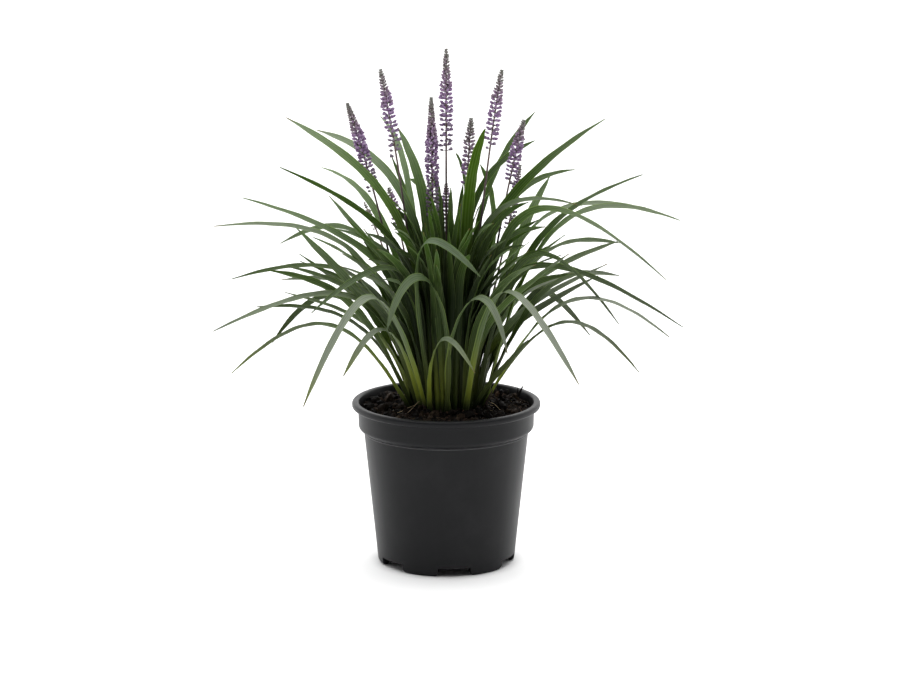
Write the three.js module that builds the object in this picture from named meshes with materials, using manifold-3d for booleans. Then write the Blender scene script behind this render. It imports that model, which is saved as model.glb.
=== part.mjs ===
// A potted liriope: a black nursery pot, its potting mix, a clump of strap leaves that grows in
// fans round one centre, and the flower stems that stand between the fans.
// Millimetres, +Z up, the front towards -Y. The origin is on the pot's axis, on the ground.

import * as THREE from 'three';
import { mergeVertices } from 'three/addons/utils/BufferGeometryUtils.js';
import Module from 'manifold-3d';

// The pot: outside radii and the heights where the wall changes.
const POT_HEIGHT = 165;
const LIP_RADIUS = 95;
const LIP_DEPTH = 6.5;
const LIP_ROUND = 2.6;
const MOUTH_RADIUS = 88;
const MOUTH_ROUND = 2;
const BAND_RADIUS = 88.4;
const BAND_BOTTOM = POT_HEIGHT - 24;
const BAND_ROUND = 5;
const SHOULDER_RADIUS = 83;
const SHOULDER_BOTTOM = POT_HEIGHT - 30.5;
const BASE_RADIUS = 69.5;
const BASE_ROUND = 3.5;
const WALL = 2;
const FOOT_INNER = 63.5;
const FOOT_DRAFT = 1;
const FLOOR_UNDERSIDE = 10;
const FLOOR_TOP = FLOOR_UNDERSIDE + 2.5;
const FLOOR_RADIUS = BASE_RADIUS - WALL + 1;
const POT_SIDES = 32;
const NOTCHES = 6;
const NOTCH_FIRST = 217;
const NOTCH_WIDTH = 33;
const NOTCH_HEIGHT = 8.5;
const NOTCH_CORNER = 5;
const NOTCH_FROM = FOOT_INNER - 11;
const NOTCH_DEPTH = 30;
const DRAIN_RADIUS = 5.5;
const DRAIN_CIRCLE = 46;
const DRAIN_SIDES = 6;
const CUTTER_LENGTH = 60;

// The potting mix: its height at the wall, its low mound, and ripples that fade out at the wall
// and round the clump. GAP is the clearance between parts that are put into one another.
const GAP = 0.3;
const MIX_RADIUS = BAND_RADIUS - WALL - GAP;
const MIX_AT_WALL = 156.5;
const MIX_MOUND = 3;
const MIX_MOUND_RADIUS = 48;
const MIX_RIPPLE = 0.9;
const MIX_WAVES = {
  x: 0.21, y: 0.17, shiftX: 1.3, shiftY: -0.4, crossX: 0.33, crossY: -0.29, cross: 0.6,
};
const MIX_CALM = { wall: 12, from: 30, over: 15, least: 0.3 };
const MIX_RINGS = [76, 62, 46, 24];

// The clump: fans are equal sectors, and where a flower stem stands between two neighbours a
// narrow lane there stays free for it.
const FANS = 12;
const FAN_ANGLE = 360 / FANS;
const STEM_LANE = 2.3;
const BARE_LANE = 0.4;
const CROWN_LANE = 2.9;
const CROWN_BOTTOM = 135;
const CROWN_TOP = 163.5;
const CROWN_INNER = 18;
const CROWN_EDGE = { length: 4, width: 3 };
const CLUMP_X = 42;
const CLUMP_Y = 35;

// A blade: three-sided, with a keel under it, from a narrow sheath to its tip.
const ROOT_HEIGHT = 160.5;
const BOW_PULL = 0.8;
const SHEATH_WIDTH = 5;
const SHEATH_DEPTH = 1.8;
const KEEL_DEPTH = 1.3;
const TIP_DEPTH = 0.9;
const BLADE_STEPS = [0, 0.16, 0.33, 0.45, 0.55, 0.66, 0.8, 0.91, 1];
const WIDEST_AT = 0.45;
const LEAVES_IN_SIDE_FAN = 9;
const LEAVES_IN_FRONT_FAN = 7;

// A plain leaf that fills a fan: the least of each of its sizes, and how far a draw adds to it.
const SHORT_LEAF = {
  spread: 28,
  reach: 85, reachDraw: 90, facingCut: 0.5,
  height: 425, heightPerReach: -0.7, heightDraw: -55,
  bowPerReach: 0.2, bowPerReachDraw: 0.2,
  bowPerHeight: 0.78, bowPerHeightDraw: 0.2,
  width: 7, widthDraw: 2.5, turn: 60, leanPerReach: 0.25,
};

// The heart: a six-sided stub on the axis with erect leaves. Each control point of a leaf's line
// has a radius and a height.
const HEART_RADIUS = 8.5;
const HEART_LEAVES = 6;
const HEART_LEAF = {
  spread: 25, root: 3.5, low: [6, 200], middle: [4, 270], middleDraw: 4,
  tip: 9, height: 265, heightDraw: 75, width: 6, widthDraw: 1, turn: 40,
};

// A flower stem: a thin scape with whorls of buds up its top part.
const STEM_BOTTOM = 143;
const STEM_RADIUS = 1.4;
const STEM_TIP_RADIUS = 0.9;
const STEM_SIDES = 6;
const STEM_STEPS = 6;
const STEM_HOLE_RADIUS = STEM_RADIUS + 2 * GAP;
const WHORL_PITCH = 5.4;
const WHORL_CROWDING = 0.35;
const WHORL_RISE = 0.45;
const WHORL_NECK = 1.2;
const TIP_SHRINK = 0.62;

// The leaves that shape the outline, fan by fan. Each row is: azimuth of the tip in degrees from
// +X towards the back, reach and height of the tip, reach and height of the bow point that pulls
// the blade up, width, turn of the blade about its own line in degrees, and sideways lean.
const LONG_LEAVES = [
  [26, 180, 440, 10, 360, 11, 20, 0],
  [13, 40, 440, 10, 370, 12, -70, 0],
  [12, 135, 360, 12, 395, 7, 40, 0],
  [14, 180, 320, 55, 285, 9, -55, 0],
  [25, 225, 345, 70, 385, 7, -55, 0],
  [18, 210, 385, 70, 345, 9, 20, 0],
  [5, 236, 345, 95, 400, 9, 20, 0],
  [35, 110, 420, 10, 390, 9, 10, 0],
  [55, 160, 440, 30, 375, 9, -10, 0],
  [50, 210, 375, 60, 385, 8, 30, 0],
  [34, 180, 210, 80, 325, 8, -50, 0],
  [48, 160, 375, 95, 305, 11, 10, 0],
  [38, 230, 300, 105, 335, 8, -60, 0],
  [33, 215, 270, 110, 300, 8, 40, 0],
  [85, 110, 400, 70, 375, 8, -60, -25],
  [75, 135, 385, 145, 325, 8, 50, -30],
  [80, 203, 255, 85, 335, 9, -10, 0],
  [111, 105, 375, 10, 375, 9, -60, 0],
  [114, 140, 395, 25, 290, 8, 20, 0],
  [96, 90, 385, 65, 335, 9, -40, 25],
  [117, 150, 435, 85, 415, 8, 15, 0],
  [101, 205, 275, 95, 340, 9, -15, 0],
  [134, 70, 435, 10, 360, 10, -10, 0],
  [142, 170, 425, 20, 405, 10, -20, 0],
  [145, 210, 265, 70, 295, 7, 60, 0],
  [132, 195, 380, 80, 370, 9, -10, 0],
  [147, 205, 305, 85, 375, 7, 60, 0],
  [133, 205, 305, 85, 290, 8, 0, 0],
  [164, 175, 395, 10, 335, 9, 60, 0],
  [162, 170, 445, 15, 370, 10, -30, 0],
  [156, 130, 365, 20, 260, 9, 70, 0],
  [161, 220, 360, 25, 320, 9, -30, 0],
  [176, 234, 340, 65, 360, 8, -20, 0],
  [160, 190, 210, 115, 315, 8, 50, 0],
  [188, 215, 295, 65, 335, 8, -20, 0],
  [199, 155, 350, 70, 265, 10, -60, 0],
  [202, 245, 255, 75, 325, 10, -30, 0],
  [186, 190, 265, 80, 270, 8, 40, 0],
  [199, 185, 310, 90, 290, 9, 50, 0],
  [195, 220, 205, 115, 295, 7, 50, 0],
  [224, 180, 280, 35, 360, 8, -30, 0],
  [222, 135, 210, 75, 290, 9, -20, 0],
  [236, 240, 205, 120, 365, 10, -20, 0],
  [303, 230, 225, 80, 360, 10, 12, 0],
  [324, 100, 240, 65, 205, 6, -50, 0],
  [348, 240, 250, 45, 370, 9, -50, 0],
  [344, 225, 300, 50, 445, 10, -50, 0],
  [341, 180, 255, 75, 390, 8, -60, 0],
  [351, 135, 300, 85, 285, 9, 40, 0],
  [351, 195, 200, 115, 295, 7, 20, 0],
  [342, 230, 245, 125, 325, 8, 20, -10],
];

// The leaves that arch sideways over the front, by fan: the four control points of the line, the
// width and the turn.
const FRONT_ARCHES = {
  8: [
    [[[-12, -26, 160], [-50, -81, 364], [-22, -70, 370], [33, -112, 313]], 8.5, 50],
    [[[0, -34, 160], [13, -44, 320], [-40, -98, 343], [-57, -132, 263]], 9.5, -42],
  ],
  9: [
    [[[4, -34, 160], [-12, -32, 229], [34, -69, 355], [59, -122, 239]], 9.5, 38],
    [[[-16, -31, 160], [-19, -51, 207], [-13, -69, 287], [28, -116, 219]], 6.5, 42],
  ],
};

// The flower stems, each in the lane at its azimuth: radius at the ground, reach and height of
// the tip, share of the way out and height of the bow point, length of the flowering part, and
// the largest radius of its whorls.
const FLOWER_STEMS = [
  ['flower_stem_01', 150, 33, 115, 458, 0.35, 325, 92, 8],
  ['flower_stem_02', 150, 24, 76, 495, 0.3, 345, 88, 8],
  ['flower_stem_03', 90, 23, 34, 517, 0.4, 345, 108, 8],
  ['flower_stem_04', 120, 22, 30, 468, 0.5, 325, 92, 8],
  ['flower_stem_05', 60, 22, 50, 445, 0.3, 305, 66, 8],
  ['flower_stem_06', 30, 22, 64, 495, 0.3, 345, 80, 8],
  ['flower_stem_07', 30, 32, 90, 443, 0.3, 305, 66, 7.5],
  ['flower_stem_08', 120, 35, 172, 342, 0.5, 285, 40, 6],
  ['flower_stem_09', 60, 31, 153, 384, 0.75, 295, 68, 6.5],
  ['flower_stem_10', 90, 32, 62, 376, 0.4, 275, 50, 6.5],
  ['flower_stem_11', 120, 29, 118, 365, 0.45, 285, 44, 6.5],
];

const radians = THREE.MathUtils.degToRad;
const HALF_FAN = radians(FAN_ANGLE / 2);
const AXIS_Y = new THREE.Vector3(0, 1, 0);

const wasm = await Module();
wasm.setup();

/** A seeded draw between 0 and 1, the same on every run. */
function seededDraw(seed) {
  let state = seed;
  return () => {
    state = (state * 48271) % 2147483647;
    return state / 2147483647;
  };
}

/** A closed three.js geometry as a solid that can be joined and cut. */
function solidOf(geometry) {
  const bare = geometry.clone();
  bare.deleteAttribute('normal');
  bare.deleteAttribute('uv');
  const merged = mergeVertices(bare, 1e-4);
  return new wasm.Manifold(new wasm.Mesh({
    numProp: 3,
    vertProperties: new Float32Array(merged.attributes.position.array),
    triVerts: new Uint32Array(merged.index.array),
  }));
}

/** A solid back as a three.js geometry. */
function geometryOf(solid) {
  const mesh = solid.getMesh();
  const geometry = new THREE.BufferGeometry();
  geometry.setAttribute('position', new THREE.BufferAttribute(mesh.vertProperties, 3));
  geometry.setIndex(new THREE.BufferAttribute(mesh.triVerts, 1));
  geometry.computeVertexNormals();
  return geometry;
}

/** The outer body alone: hollows sealed in between crossing blades are filled, scraps dropped. */
function outerBody(solid) {
  const bodies = solid.decompose();
  return bodies.reduce((largest, body) => (body.volume() > largest.volume() ? body : largest));
}

/** A profile of [radius, height] points turned about the Z axis. */
function turned(profile) {
  const points = profile.map(([radius, height]) => new THREE.Vector2(radius, height));
  return new THREE.LatheGeometry(points, POT_SIDES).rotateX(Math.PI / 2);
}

/** Points on an arc round a centre, from one angle to another in degrees. */
function arc(centre, radius, from, to, steps) {
  return Array.from({ length: steps + 1 }, (_, i) => {
    const angle = radians(from + (to - from) * i / steps);
    return [centre[0] + radius * Math.cos(angle), centre[1] + radius * Math.sin(angle)];
  });
}

/** An upright rod with flat sides on the Z axis, standing at a given height. */
function uprightRod(radius, length, sides, bottom) {
  const rod = new THREE.CylinderGeometry(radius, radius, length, sides);
  return rod.rotateX(Math.PI / 2).translate(0, 0, bottom + length / 2);
}

/** A named mesh with its own plain material. */
function part(name, geometry, color, roughness) {
  const material = new THREE.MeshStandardMaterial({ color, roughness, metalness: 0 });
  const mesh = new THREE.Mesh(geometry, material);
  mesh.name = name;
  return mesh;
}

// --- Pot -----------------------------------------------------------------------------------

/** Notch under the foot: straight top, with the feet's lower corners rounded off. */
function notchCutter(angle) {
  const half = NOTCH_WIDTH / 2;
  const shape = new THREE.Shape();
  shape.moveTo(-half - NOTCH_CORNER, -1);
  shape.lineTo(-half - NOTCH_CORNER, 0);
  for (const [x, y] of arc([-half - NOTCH_CORNER, NOTCH_CORNER], NOTCH_CORNER, -60, 0, 2)) {
    shape.lineTo(x, y);
  }
  shape.lineTo(-half, NOTCH_HEIGHT);
  shape.lineTo(half, NOTCH_HEIGHT);
  for (const [x, y] of arc([half + NOTCH_CORNER, NOTCH_CORNER], NOTCH_CORNER, 180, 240, 2)) {
    shape.lineTo(x, y);
  }
  shape.lineTo(half + NOTCH_CORNER, 0);
  shape.lineTo(half + NOTCH_CORNER, -1);
  const cutter = new THREE.ExtrudeGeometry(shape, { depth: NOTCH_DEPTH, bevelEnabled: false });
  cutter.rotateX(Math.PI / 2).rotateZ(Math.PI / 2);
  return cutter.translate(NOTCH_FROM, 0, 0).rotateZ(radians(angle));
}

/** Pot: one moulded wall with a rolled lip, a band, a shoulder, a taper and a notched foot. */
function makePot() {
  const lipEdge = LIP_RADIUS - LIP_ROUND;
  const lipTop = POT_HEIGHT - LIP_ROUND;
  const profile = [
    [0, FLOOR_UNDERSIDE],
    [FOOT_INNER - FOOT_DRAFT, FLOOR_UNDERSIDE],
    [FOOT_INNER, 0],
    ...arc([BASE_RADIUS - BASE_ROUND, BASE_ROUND], BASE_ROUND, -90, 0, 3),
    [SHOULDER_RADIUS, SHOULDER_BOTTOM],
    ...arc([BAND_RADIUS - BAND_ROUND, BAND_BOTTOM], BAND_ROUND, -50, 0, 2),
    [BAND_RADIUS, POT_HEIGHT - LIP_DEPTH],
    ...arc([lipEdge, POT_HEIGHT - LIP_DEPTH + LIP_ROUND], LIP_ROUND, -90, -20, 2),
    ...arc([lipEdge, lipTop], LIP_ROUND, 0, 90, 3),
    ...arc([MOUTH_RADIUS + MOUTH_ROUND, POT_HEIGHT - MOUTH_ROUND], MOUTH_ROUND, 90, 180, 2),
    [BAND_RADIUS - WALL, POT_HEIGHT - LIP_DEPTH - MOUTH_ROUND],
    [BAND_RADIUS - WALL, BAND_BOTTOM],
    [SHOULDER_RADIUS - WALL, SHOULDER_BOTTOM],
    [FLOOR_RADIUS, FLOOR_TOP],
    [0, FLOOR_TOP],
  ];
  let pot = solidOf(turned(profile));
  for (let i = 0; i < NOTCHES; i += 1) {
    const angle = NOTCH_FIRST + 360 / NOTCHES * i;
    pot = pot.subtract(solidOf(notchCutter(angle)));
    const drain = uprightRod(DRAIN_RADIUS, CUTTER_LENGTH, DRAIN_SIDES, -CUTTER_LENGTH / 2);
    pot = pot.subtract(solidOf(drain.translate(DRAIN_CIRCLE, 0, 0).rotateZ(radians(angle))));
  }
  return pot;
}

// --- Leaves --------------------------------------------------------------------------------

/** Unit vector in plan at an azimuth in degrees. */
function heading(azimuth) {
  return new THREE.Vector3(Math.cos(radians(azimuth)), Math.sin(radians(azimuth)), 0);
}

/** Half width of a blade as a share of its full half width, from sheath (0) to tip (1). */
function taper(t) {
  const opening = Math.min(1, t / WIDEST_AT);
  const closing = Math.max(0, (t - WIDEST_AT) / (1 - WIDEST_AT));
  return (opening * (2 - opening)) * (1 - closing ** 3);
}

/** Half the free width between two fans: more where a flower stem stands there. */
function laneAt(azimuth) {
  const hasStem = FLOWER_STEMS.some(([, stemAzimuth]) => stemAzimuth === azimuth % 360);
  return hasStem ? STEM_LANE : BARE_LANE;
}

/** The control point moved in between the two upright planes that bound its fan. */
function keptInFan(point, azimuth, halfWidth) {
  const along = Math.max(point.dot(heading(azimuth)), CROWN_INNER - 1);
  const [right, left] = [-1, 1].map((side) => {
    const lane = laneAt(azimuth + side * FAN_ANGLE / 2);
    return Math.max(0, along * Math.tan(HALF_FAN) - (lane + halfWidth) / Math.cos(HALF_FAN));
  });
  const across = THREE.MathUtils.clamp(point.dot(heading(azimuth + 90)), -right, left);
  return new THREE.Vector3(0, 0, point.z)
    .addScaledVector(heading(azimuth), along)
    .addScaledVector(heading(azimuth + 90), across);
}

/** The line of a leaf: from its root up towards a bow point and over to its tip. */
function leafLine(leaf, fanAzimuth, root) {
  const [azimuth, reach, height, bowReach, bowHeight, width, , lean] = leaf;
  const out = heading(azimuth);
  const foot = out.clone().multiplyScalar(root).setZ(ROOT_HEIGHT);
  const tip = out.clone().multiplyScalar(reach).setZ(height);
  const bow = out.clone().multiplyScalar(bowReach).addScaledVector(heading(azimuth + 90), lean);
  bow.z = bowHeight;
  const rising = foot.clone().lerp(bow, BOW_PULL);
  const falling = tip.clone().lerp(bow, BOW_PULL);
  return new THREE.CubicBezierCurve3(
    keptInFan(foot, fanAzimuth, SHEATH_WIDTH / 2),
    keptInFan(rising, fanAzimuth, width / 2),
    keptInFan(falling, fanAzimuth, width / 2),
    keptInFan(tip, fanAzimuth, width / 4),
  );
}

/**
 * A three-sided blade along its line, level across its face, then turned about the line. One that
 * turns to the left is built as the mirror image of one that turns to the right, so that the
 * diagonals of its twisted faces always stand out of the blade and never cut through it.
 */
function bladeGeometry(line, width, turn) {
  const blade = new THREE.ConeGeometry(1, 1, 3, BLADE_STEPS.length - 1);
  const hand = turn > 0 ? -1 : 1;
  const position = blade.attributes.position;
  const plan = line.v3.clone().sub(line.v0).setZ(0);
  const level = new THREE.Vector3(-plan.y, plan.x, 0).normalize();
  for (let i = 0; i < position.count; i += 1) {
    const row = Math.round((position.getY(i) + 0.5) * (BLADE_STEPS.length - 1));
    const t = BLADE_STEPS[row];
    const point = line.getPoint(t);
    const atAxis = Math.hypot(position.getX(i), position.getZ(i)) < 1e-6;
    if (row > 0 && row < BLADE_STEPS.length - 1 || !atAxis) {
      const corner = Math.round(Math.atan2(position.getX(i), position.getZ(i)) / radians(120));
      const along = line.getTangent(t);
      const across = level.clone().addScaledVector(along, -level.dot(along)).normalize();
      across.applyAxisAngle(along, radians(turn) * Math.min(1, t / WIDEST_AT));
      const up = along.clone().cross(across);
      const half = THREE.MathUtils.lerp(SHEATH_WIDTH / 2 * (1 - t), width / 2, taper(t));
      const depth = Math.max(
        THREE.MathUtils.lerp(KEEL_DEPTH, TIP_DEPTH, t),
        SHEATH_DEPTH * (1 - t / BLADE_STEPS[2]),
      );
      point.addScaledVector(across, hand * corner * half);
      point.addScaledVector(up, corner === 0 ? -depth : 0);
    }
    position.setXYZ(i, point.x, point.y, point.z);
  }
  if (hand < 0) {
    blade.index.array.reverse();
  }
  return blade;
}

/**
 * The plain leaves that fill a fan behind its long ones, drawn by a seeded rule: the further one
 * reaches the lower it ends, and fans that face the front or the back reach less far.
 */
function shortLeaves(fanAzimuth, count, draw) {
  const rule = SHORT_LEAF;
  const facing = Math.sin(radians(fanAzimuth)) ** 2;
  return Array.from({ length: count }, () => {
    const reach = (rule.reach + rule.reachDraw * draw()) * (1 - rule.facingCut * facing);
    const height = rule.height + rule.heightPerReach * reach + rule.heightDraw * draw();
    return [
      fanAzimuth + (draw() - 0.5) * rule.spread,
      reach,
      height,
      reach * (rule.bowPerReach + rule.bowPerReachDraw * draw()),
      height * (rule.bowPerHeight + rule.bowPerHeightDraw * draw()),
      rule.width + rule.widthDraw * draw(),
      (draw() - 0.5) * rule.turn,
      (draw() - 0.5) * rule.leanPerReach * reach,
    ];
  });
}

/** Outer radius of the clump at an azimuth: an ellipse a little wider than it is deep. */
function clumpRadius(azimuth) {
  const out = heading(azimuth);
  return 1 / Math.hypot(out.x / CLUMP_X, out.y / CLUMP_Y);
}

/** The short thick crown that a fan's leaves rise from: a wedge, grown by a given clearance. */
function crownGeometry(fanAzimuth, clearance) {
  const inner = CROWN_INNER - clearance;
  const outer = clumpRadius(fanAzimuth) + clearance;
  const halfAt = (radius) => radius * Math.tan(HALF_FAN) - CROWN_LANE / Math.cos(HALF_FAN);
  const innerHalf = halfAt(CROWN_INNER) + clearance;
  const outerHalf = halfAt(outer - CROWN_EDGE.length) + clearance;
  const shape = new THREE.Shape();
  shape.moveTo(inner, -innerHalf);
  shape.lineTo(outer - CROWN_EDGE.length, -outerHalf);
  shape.lineTo(outer, CROWN_EDGE.width - outerHalf);
  shape.lineTo(outer, outerHalf - CROWN_EDGE.width);
  shape.lineTo(outer - CROWN_EDGE.length, outerHalf);
  shape.lineTo(inner, innerHalf);
  const bottom = CROWN_BOTTOM - clearance;
  const depth = clearance > 0 ? CUTTER_LENGTH : CROWN_TOP - bottom;
  const crown = new THREE.ExtrudeGeometry(shape, { depth, bevelEnabled: false });
  return crown.rotateZ(radians(fanAzimuth)).translate(0, 0, bottom);
}

/** The crown of the innermost leaves: a six-sided stub on the clump's axis. */
function heartGeometry(clearance) {
  const bottom = CROWN_BOTTOM - clearance;
  const height = clearance > 0 ? CUTTER_LENGTH : CROWN_TOP - bottom;
  return uprightRod(HEART_RADIUS + clearance, height, 6, bottom);
}

/** One fan: its crown, and its leaves rooted along it, the innermost with the least bow. */
function makeFan(index) {
  const azimuth = FAN_ANGLE * (index + 0.5);
  const facesFront = Math.abs(Math.sin(radians(azimuth))) > 0.9;
  const count = facesFront ? LEAVES_IN_FRONT_FAN : LEAVES_IN_SIDE_FAN;
  const long = LONG_LEAVES.filter(([tip]) => Math.floor(tip / FAN_ANGLE) === index);
  const arches = FRONT_ARCHES[index] ?? [];
  const plain = count - long.length - arches.length;
  const short = shortLeaves(azimuth, plain, seededDraw(1000 + 37 * index));
  const leaves = [...long, ...short].sort((one, other) => one[3] - other[3]);
  const first = CROWN_INNER + 1;
  const last = clumpRadius(azimuth) - CROWN_EDGE.length;
  let fan = solidOf(crownGeometry(azimuth, 0));
  leaves.forEach((leaf, i) => {
    const root = THREE.MathUtils.lerp(first, last, i / (leaves.length - 1));
    const line = leafLine(leaf, azimuth, root);
    fan = fan.add(solidOf(bladeGeometry(line, leaf[5], leaf[6])));
  });
  arches.forEach(([points, width, turn]) => {
    const line = new THREE.CubicBezierCurve3(...points.map((at) => new THREE.Vector3(...at)));
    fan = fan.add(solidOf(bladeGeometry(line, width, turn)));
  });
  return outerBody(fan);
}

/** The heart: erect young leaves that stay within the free column on the axis. */
function makeHeart() {
  const draw = seededDraw(77);
  const rule = HEART_LEAF;
  let heart = solidOf(heartGeometry(0));
  for (let i = 0; i < HEART_LEAVES; i += 1) {
    const out = heading(i * 360 / HEART_LEAVES + rule.spread * draw());
    const at = (radius, height) => out.clone().multiplyScalar(radius).setZ(height);
    const tip = at(rule.tip, rule.height + rule.heightDraw * draw());
    const middle = at(rule.middle[0] + rule.middleDraw * draw(), rule.middle[1]);
    const line = new THREE.CubicBezierCurve3(at(rule.root, ROOT_HEIGHT), at(...rule.low), middle, tip);
    const width = rule.width + rule.widthDraw * draw();
    heart = heart.add(solidOf(bladeGeometry(line, width, rule.turn * draw())));
  }
  return outerBody(heart);
}

// --- Flower stems --------------------------------------------------------------------------

/** The line of a flower stem, in the upright plane of its lane. */
function stemLine([, azimuth, root, reach, height, out, bowHeight]) {
  const plane = heading(azimuth);
  const foot = plane.clone().multiplyScalar(root).setZ(STEM_BOTTOM);
  const tip = plane.clone().multiplyScalar(reach).setZ(height);
  const bow = foot.clone().lerp(tip, out).setZ(bowHeight);
  return new THREE.QuadraticBezierCurve3(foot, bow, tip);
}

/**
 * A flower stem as one surface round its line: a thin round scape, then whorls of three buds,
 * each bud a point that stands out of the surface, every second whorl turned by one column,
 * closer together and smaller towards the tip.
 */
function stemGeometry(stem) {
  const line = stemLine(stem);
  const [, , , , , , , flowering, size] = stem;
  const length = line.getLength();
  const whorls = Math.round(flowering / WHORL_PITCH);
  const rows = [];
  for (let i = 0; i < STEM_STEPS; i += 1) {
    const share = i / STEM_STEPS * (1 - flowering / length);
    rows.push({ share, bud: 0, turn: 0 });
  }
  for (let i = 0; i < whorls; i += 1) {
    const up = i / whorls;
    const place = up * (1 + WHORL_CROWDING - WHORL_CROWDING * up);
    const share = 1 - flowering / length * (1 - place);
    const rise = flowering / length / whorls * WHORL_RISE;
    rows.push({ share, bud: 0, turn: 0 });
    rows.push({ share: share + rise, bud: size * (1 - TIP_SHRINK * up ** 2), turn: i % 2 });
  }
  rows.push({ share: 1, bud: 0, turn: 0 });
  const surface = new THREE.ConeGeometry(1, 1, STEM_SIDES, rows.length - 1);
  const position = surface.attributes.position;
  for (let i = 0; i < position.count; i += 1) {
    const index = Math.round((position.getY(i) + 0.5) * (rows.length - 1));
    const { share, bud, turn } = rows[index];
    const point = line.getPointAt(share);
    if (Math.hypot(position.getX(i), position.getZ(i)) > 1e-6) {
      const angle = Math.atan2(position.getX(i), position.getZ(i));
      const column = Math.round(angle / (2 * Math.PI) * STEM_SIDES);
      const along = line.getTangentAt(share);
      const across = AXIS_Y.clone().addScaledVector(along, -AXIS_Y.dot(along)).normalize();
      const scape = THREE.MathUtils.lerp(STEM_RADIUS, STEM_TIP_RADIUS, share);
      const stands = bud > 0 && Math.abs(column + turn) % 2 === 0;
      const radius = stands ? bud : scape * (bud > 0 ? WHORL_NECK : 1);
      point.addScaledVector(across.applyAxisAngle(along, angle), radius);
    }
    position.setXYZ(i, point.x, point.y, point.z);
  }
  return surface;
}

// --- Potting mix ---------------------------------------------------------------------------

/** Height of the mix's surface: a low mound with ripples that fade out at the wall. */
function mixHeight(x, y) {
  const wave = MIX_WAVES;
  const radius = Math.hypot(x, y);
  const atWall = Math.min(1, (MIX_RADIUS - radius) / MIX_CALM.wall);
  const atClump = Math.min(1, Math.max(MIX_CALM.least, (radius - MIX_CALM.from) / MIX_CALM.over));
  const mound = MIX_MOUND * Math.exp(-((radius / MIX_MOUND_RADIUS) ** 4));
  const ripple = Math.sin(wave.x * x + wave.shiftX) * Math.cos(wave.y * y + wave.shiftY)
    + wave.cross * Math.sin(wave.crossX * x + wave.crossY * y);
  return MIX_AT_WALL + mound + MIX_RIPPLE * atWall * atClump * ripple;
}

/** Potting mix: fills the pot to below its rim, with a plain hole for each crown and stem. */
function makeMix() {
  const profile = [
    [0, FLOOR_TOP + GAP],
    [FLOOR_RADIUS - GAP, FLOOR_TOP + GAP],
    [SHOULDER_RADIUS - WALL - GAP, SHOULDER_BOTTOM],
    [MIX_RADIUS, BAND_BOTTOM + GAP],
    [MIX_RADIUS, MIX_AT_WALL],
    ...MIX_RINGS.map((radius) => [radius, MIX_AT_WALL]),
    [0, MIX_AT_WALL],
  ];
  const body = turned(profile);
  const position = body.attributes.position;
  for (let i = 0; i < position.count; i += 1) {
    if (position.getZ(i) > MIX_AT_WALL - 0.01) {
      position.setZ(i, mixHeight(position.getX(i), position.getY(i)));
    }
  }
  let mix = solidOf(body);
  for (let i = 0; i < FANS; i += 1) {
    mix = mix.subtract(solidOf(crownGeometry(FAN_ANGLE * (i + 0.5), GAP)));
  }
  mix = mix.subtract(solidOf(heartGeometry(GAP)));
  for (const stem of FLOWER_STEMS) {
    const { v0: foot, v1: bow } = stemLine(stem);
    const along = bow.clone().sub(foot).normalize();
    const radius = STEM_HOLE_RADIUS;
    const hole = new THREE.CylinderGeometry(radius, radius, CUTTER_LENGTH, STEM_SIDES);
    hole.translate(0, CUTTER_LENGTH / 2 - GAP, 0);
    hole.applyQuaternion(new THREE.Quaternion().setFromUnitVectors(AXIS_Y, along));
    mix = mix.subtract(solidOf(hole.translate(foot.x, foot.y, foot.z)));
  }
  return mix;
}

// --- Assembly ------------------------------------------------------------------------------

const liriope = new THREE.Group();
liriope.add(part('pot', geometryOf(makePot()), 0x1b1c1e, 0.45));
liriope.add(part('potting_mix', geometryOf(makeMix()), 0x2a211c, 1));
liriope.add(part('leaf_heart', geometryOf(makeHeart()), 0x6f9440, 0.5));
for (let i = 0; i < FANS; i += 1) {
  const name = `leaf_fan_${String(i + 1).padStart(2, '0')}`;
  liriope.add(part(name, geometryOf(makeFan(i)), 0x4a7436, 0.45));
}
for (const stem of FLOWER_STEMS) {
  liriope.add(part(stem[0], stemGeometry(stem), 0x7d6a93, 0.6));
}

export default liriope;
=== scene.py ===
"""A potted liriope: a black nursery pot with its potting mix, a clump of strap leaves that grows in
fans round one centre, and the flower stems that stand between the fans.
Metres, +Z up, the front towards -Y. The origin is on the pot's axis, on the ground."""

import bpy
import numpy as np
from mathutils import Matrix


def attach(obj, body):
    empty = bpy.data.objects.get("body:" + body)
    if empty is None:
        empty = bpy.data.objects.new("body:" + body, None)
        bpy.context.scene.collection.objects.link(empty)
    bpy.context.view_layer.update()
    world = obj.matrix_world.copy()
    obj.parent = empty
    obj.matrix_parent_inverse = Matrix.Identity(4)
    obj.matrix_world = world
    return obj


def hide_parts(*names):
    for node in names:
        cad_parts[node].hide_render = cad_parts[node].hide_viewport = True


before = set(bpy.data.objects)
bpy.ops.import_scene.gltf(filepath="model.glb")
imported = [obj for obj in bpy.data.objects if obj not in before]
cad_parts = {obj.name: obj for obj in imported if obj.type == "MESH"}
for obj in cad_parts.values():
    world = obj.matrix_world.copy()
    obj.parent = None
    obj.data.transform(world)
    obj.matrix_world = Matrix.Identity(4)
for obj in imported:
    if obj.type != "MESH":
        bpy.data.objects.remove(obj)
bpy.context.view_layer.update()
MM = 0.001
UP = np.array([0, 0, 1.0])


def unit(vectors):
    """The vectors, each brought to length one."""
    return vectors / np.linalg.norm(vectors, axis=-1, keepdims=True)


def full_turn(count):
    """Even azimuths round a whole circle."""
    return np.linspace(0, 2 * np.pi, count, endpoint=False)


def polar(radius, azimuth):
    """x = r cos a and y = r sin a."""
    return radius * np.cos(azimuth), radius * np.sin(azimuth)


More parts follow.
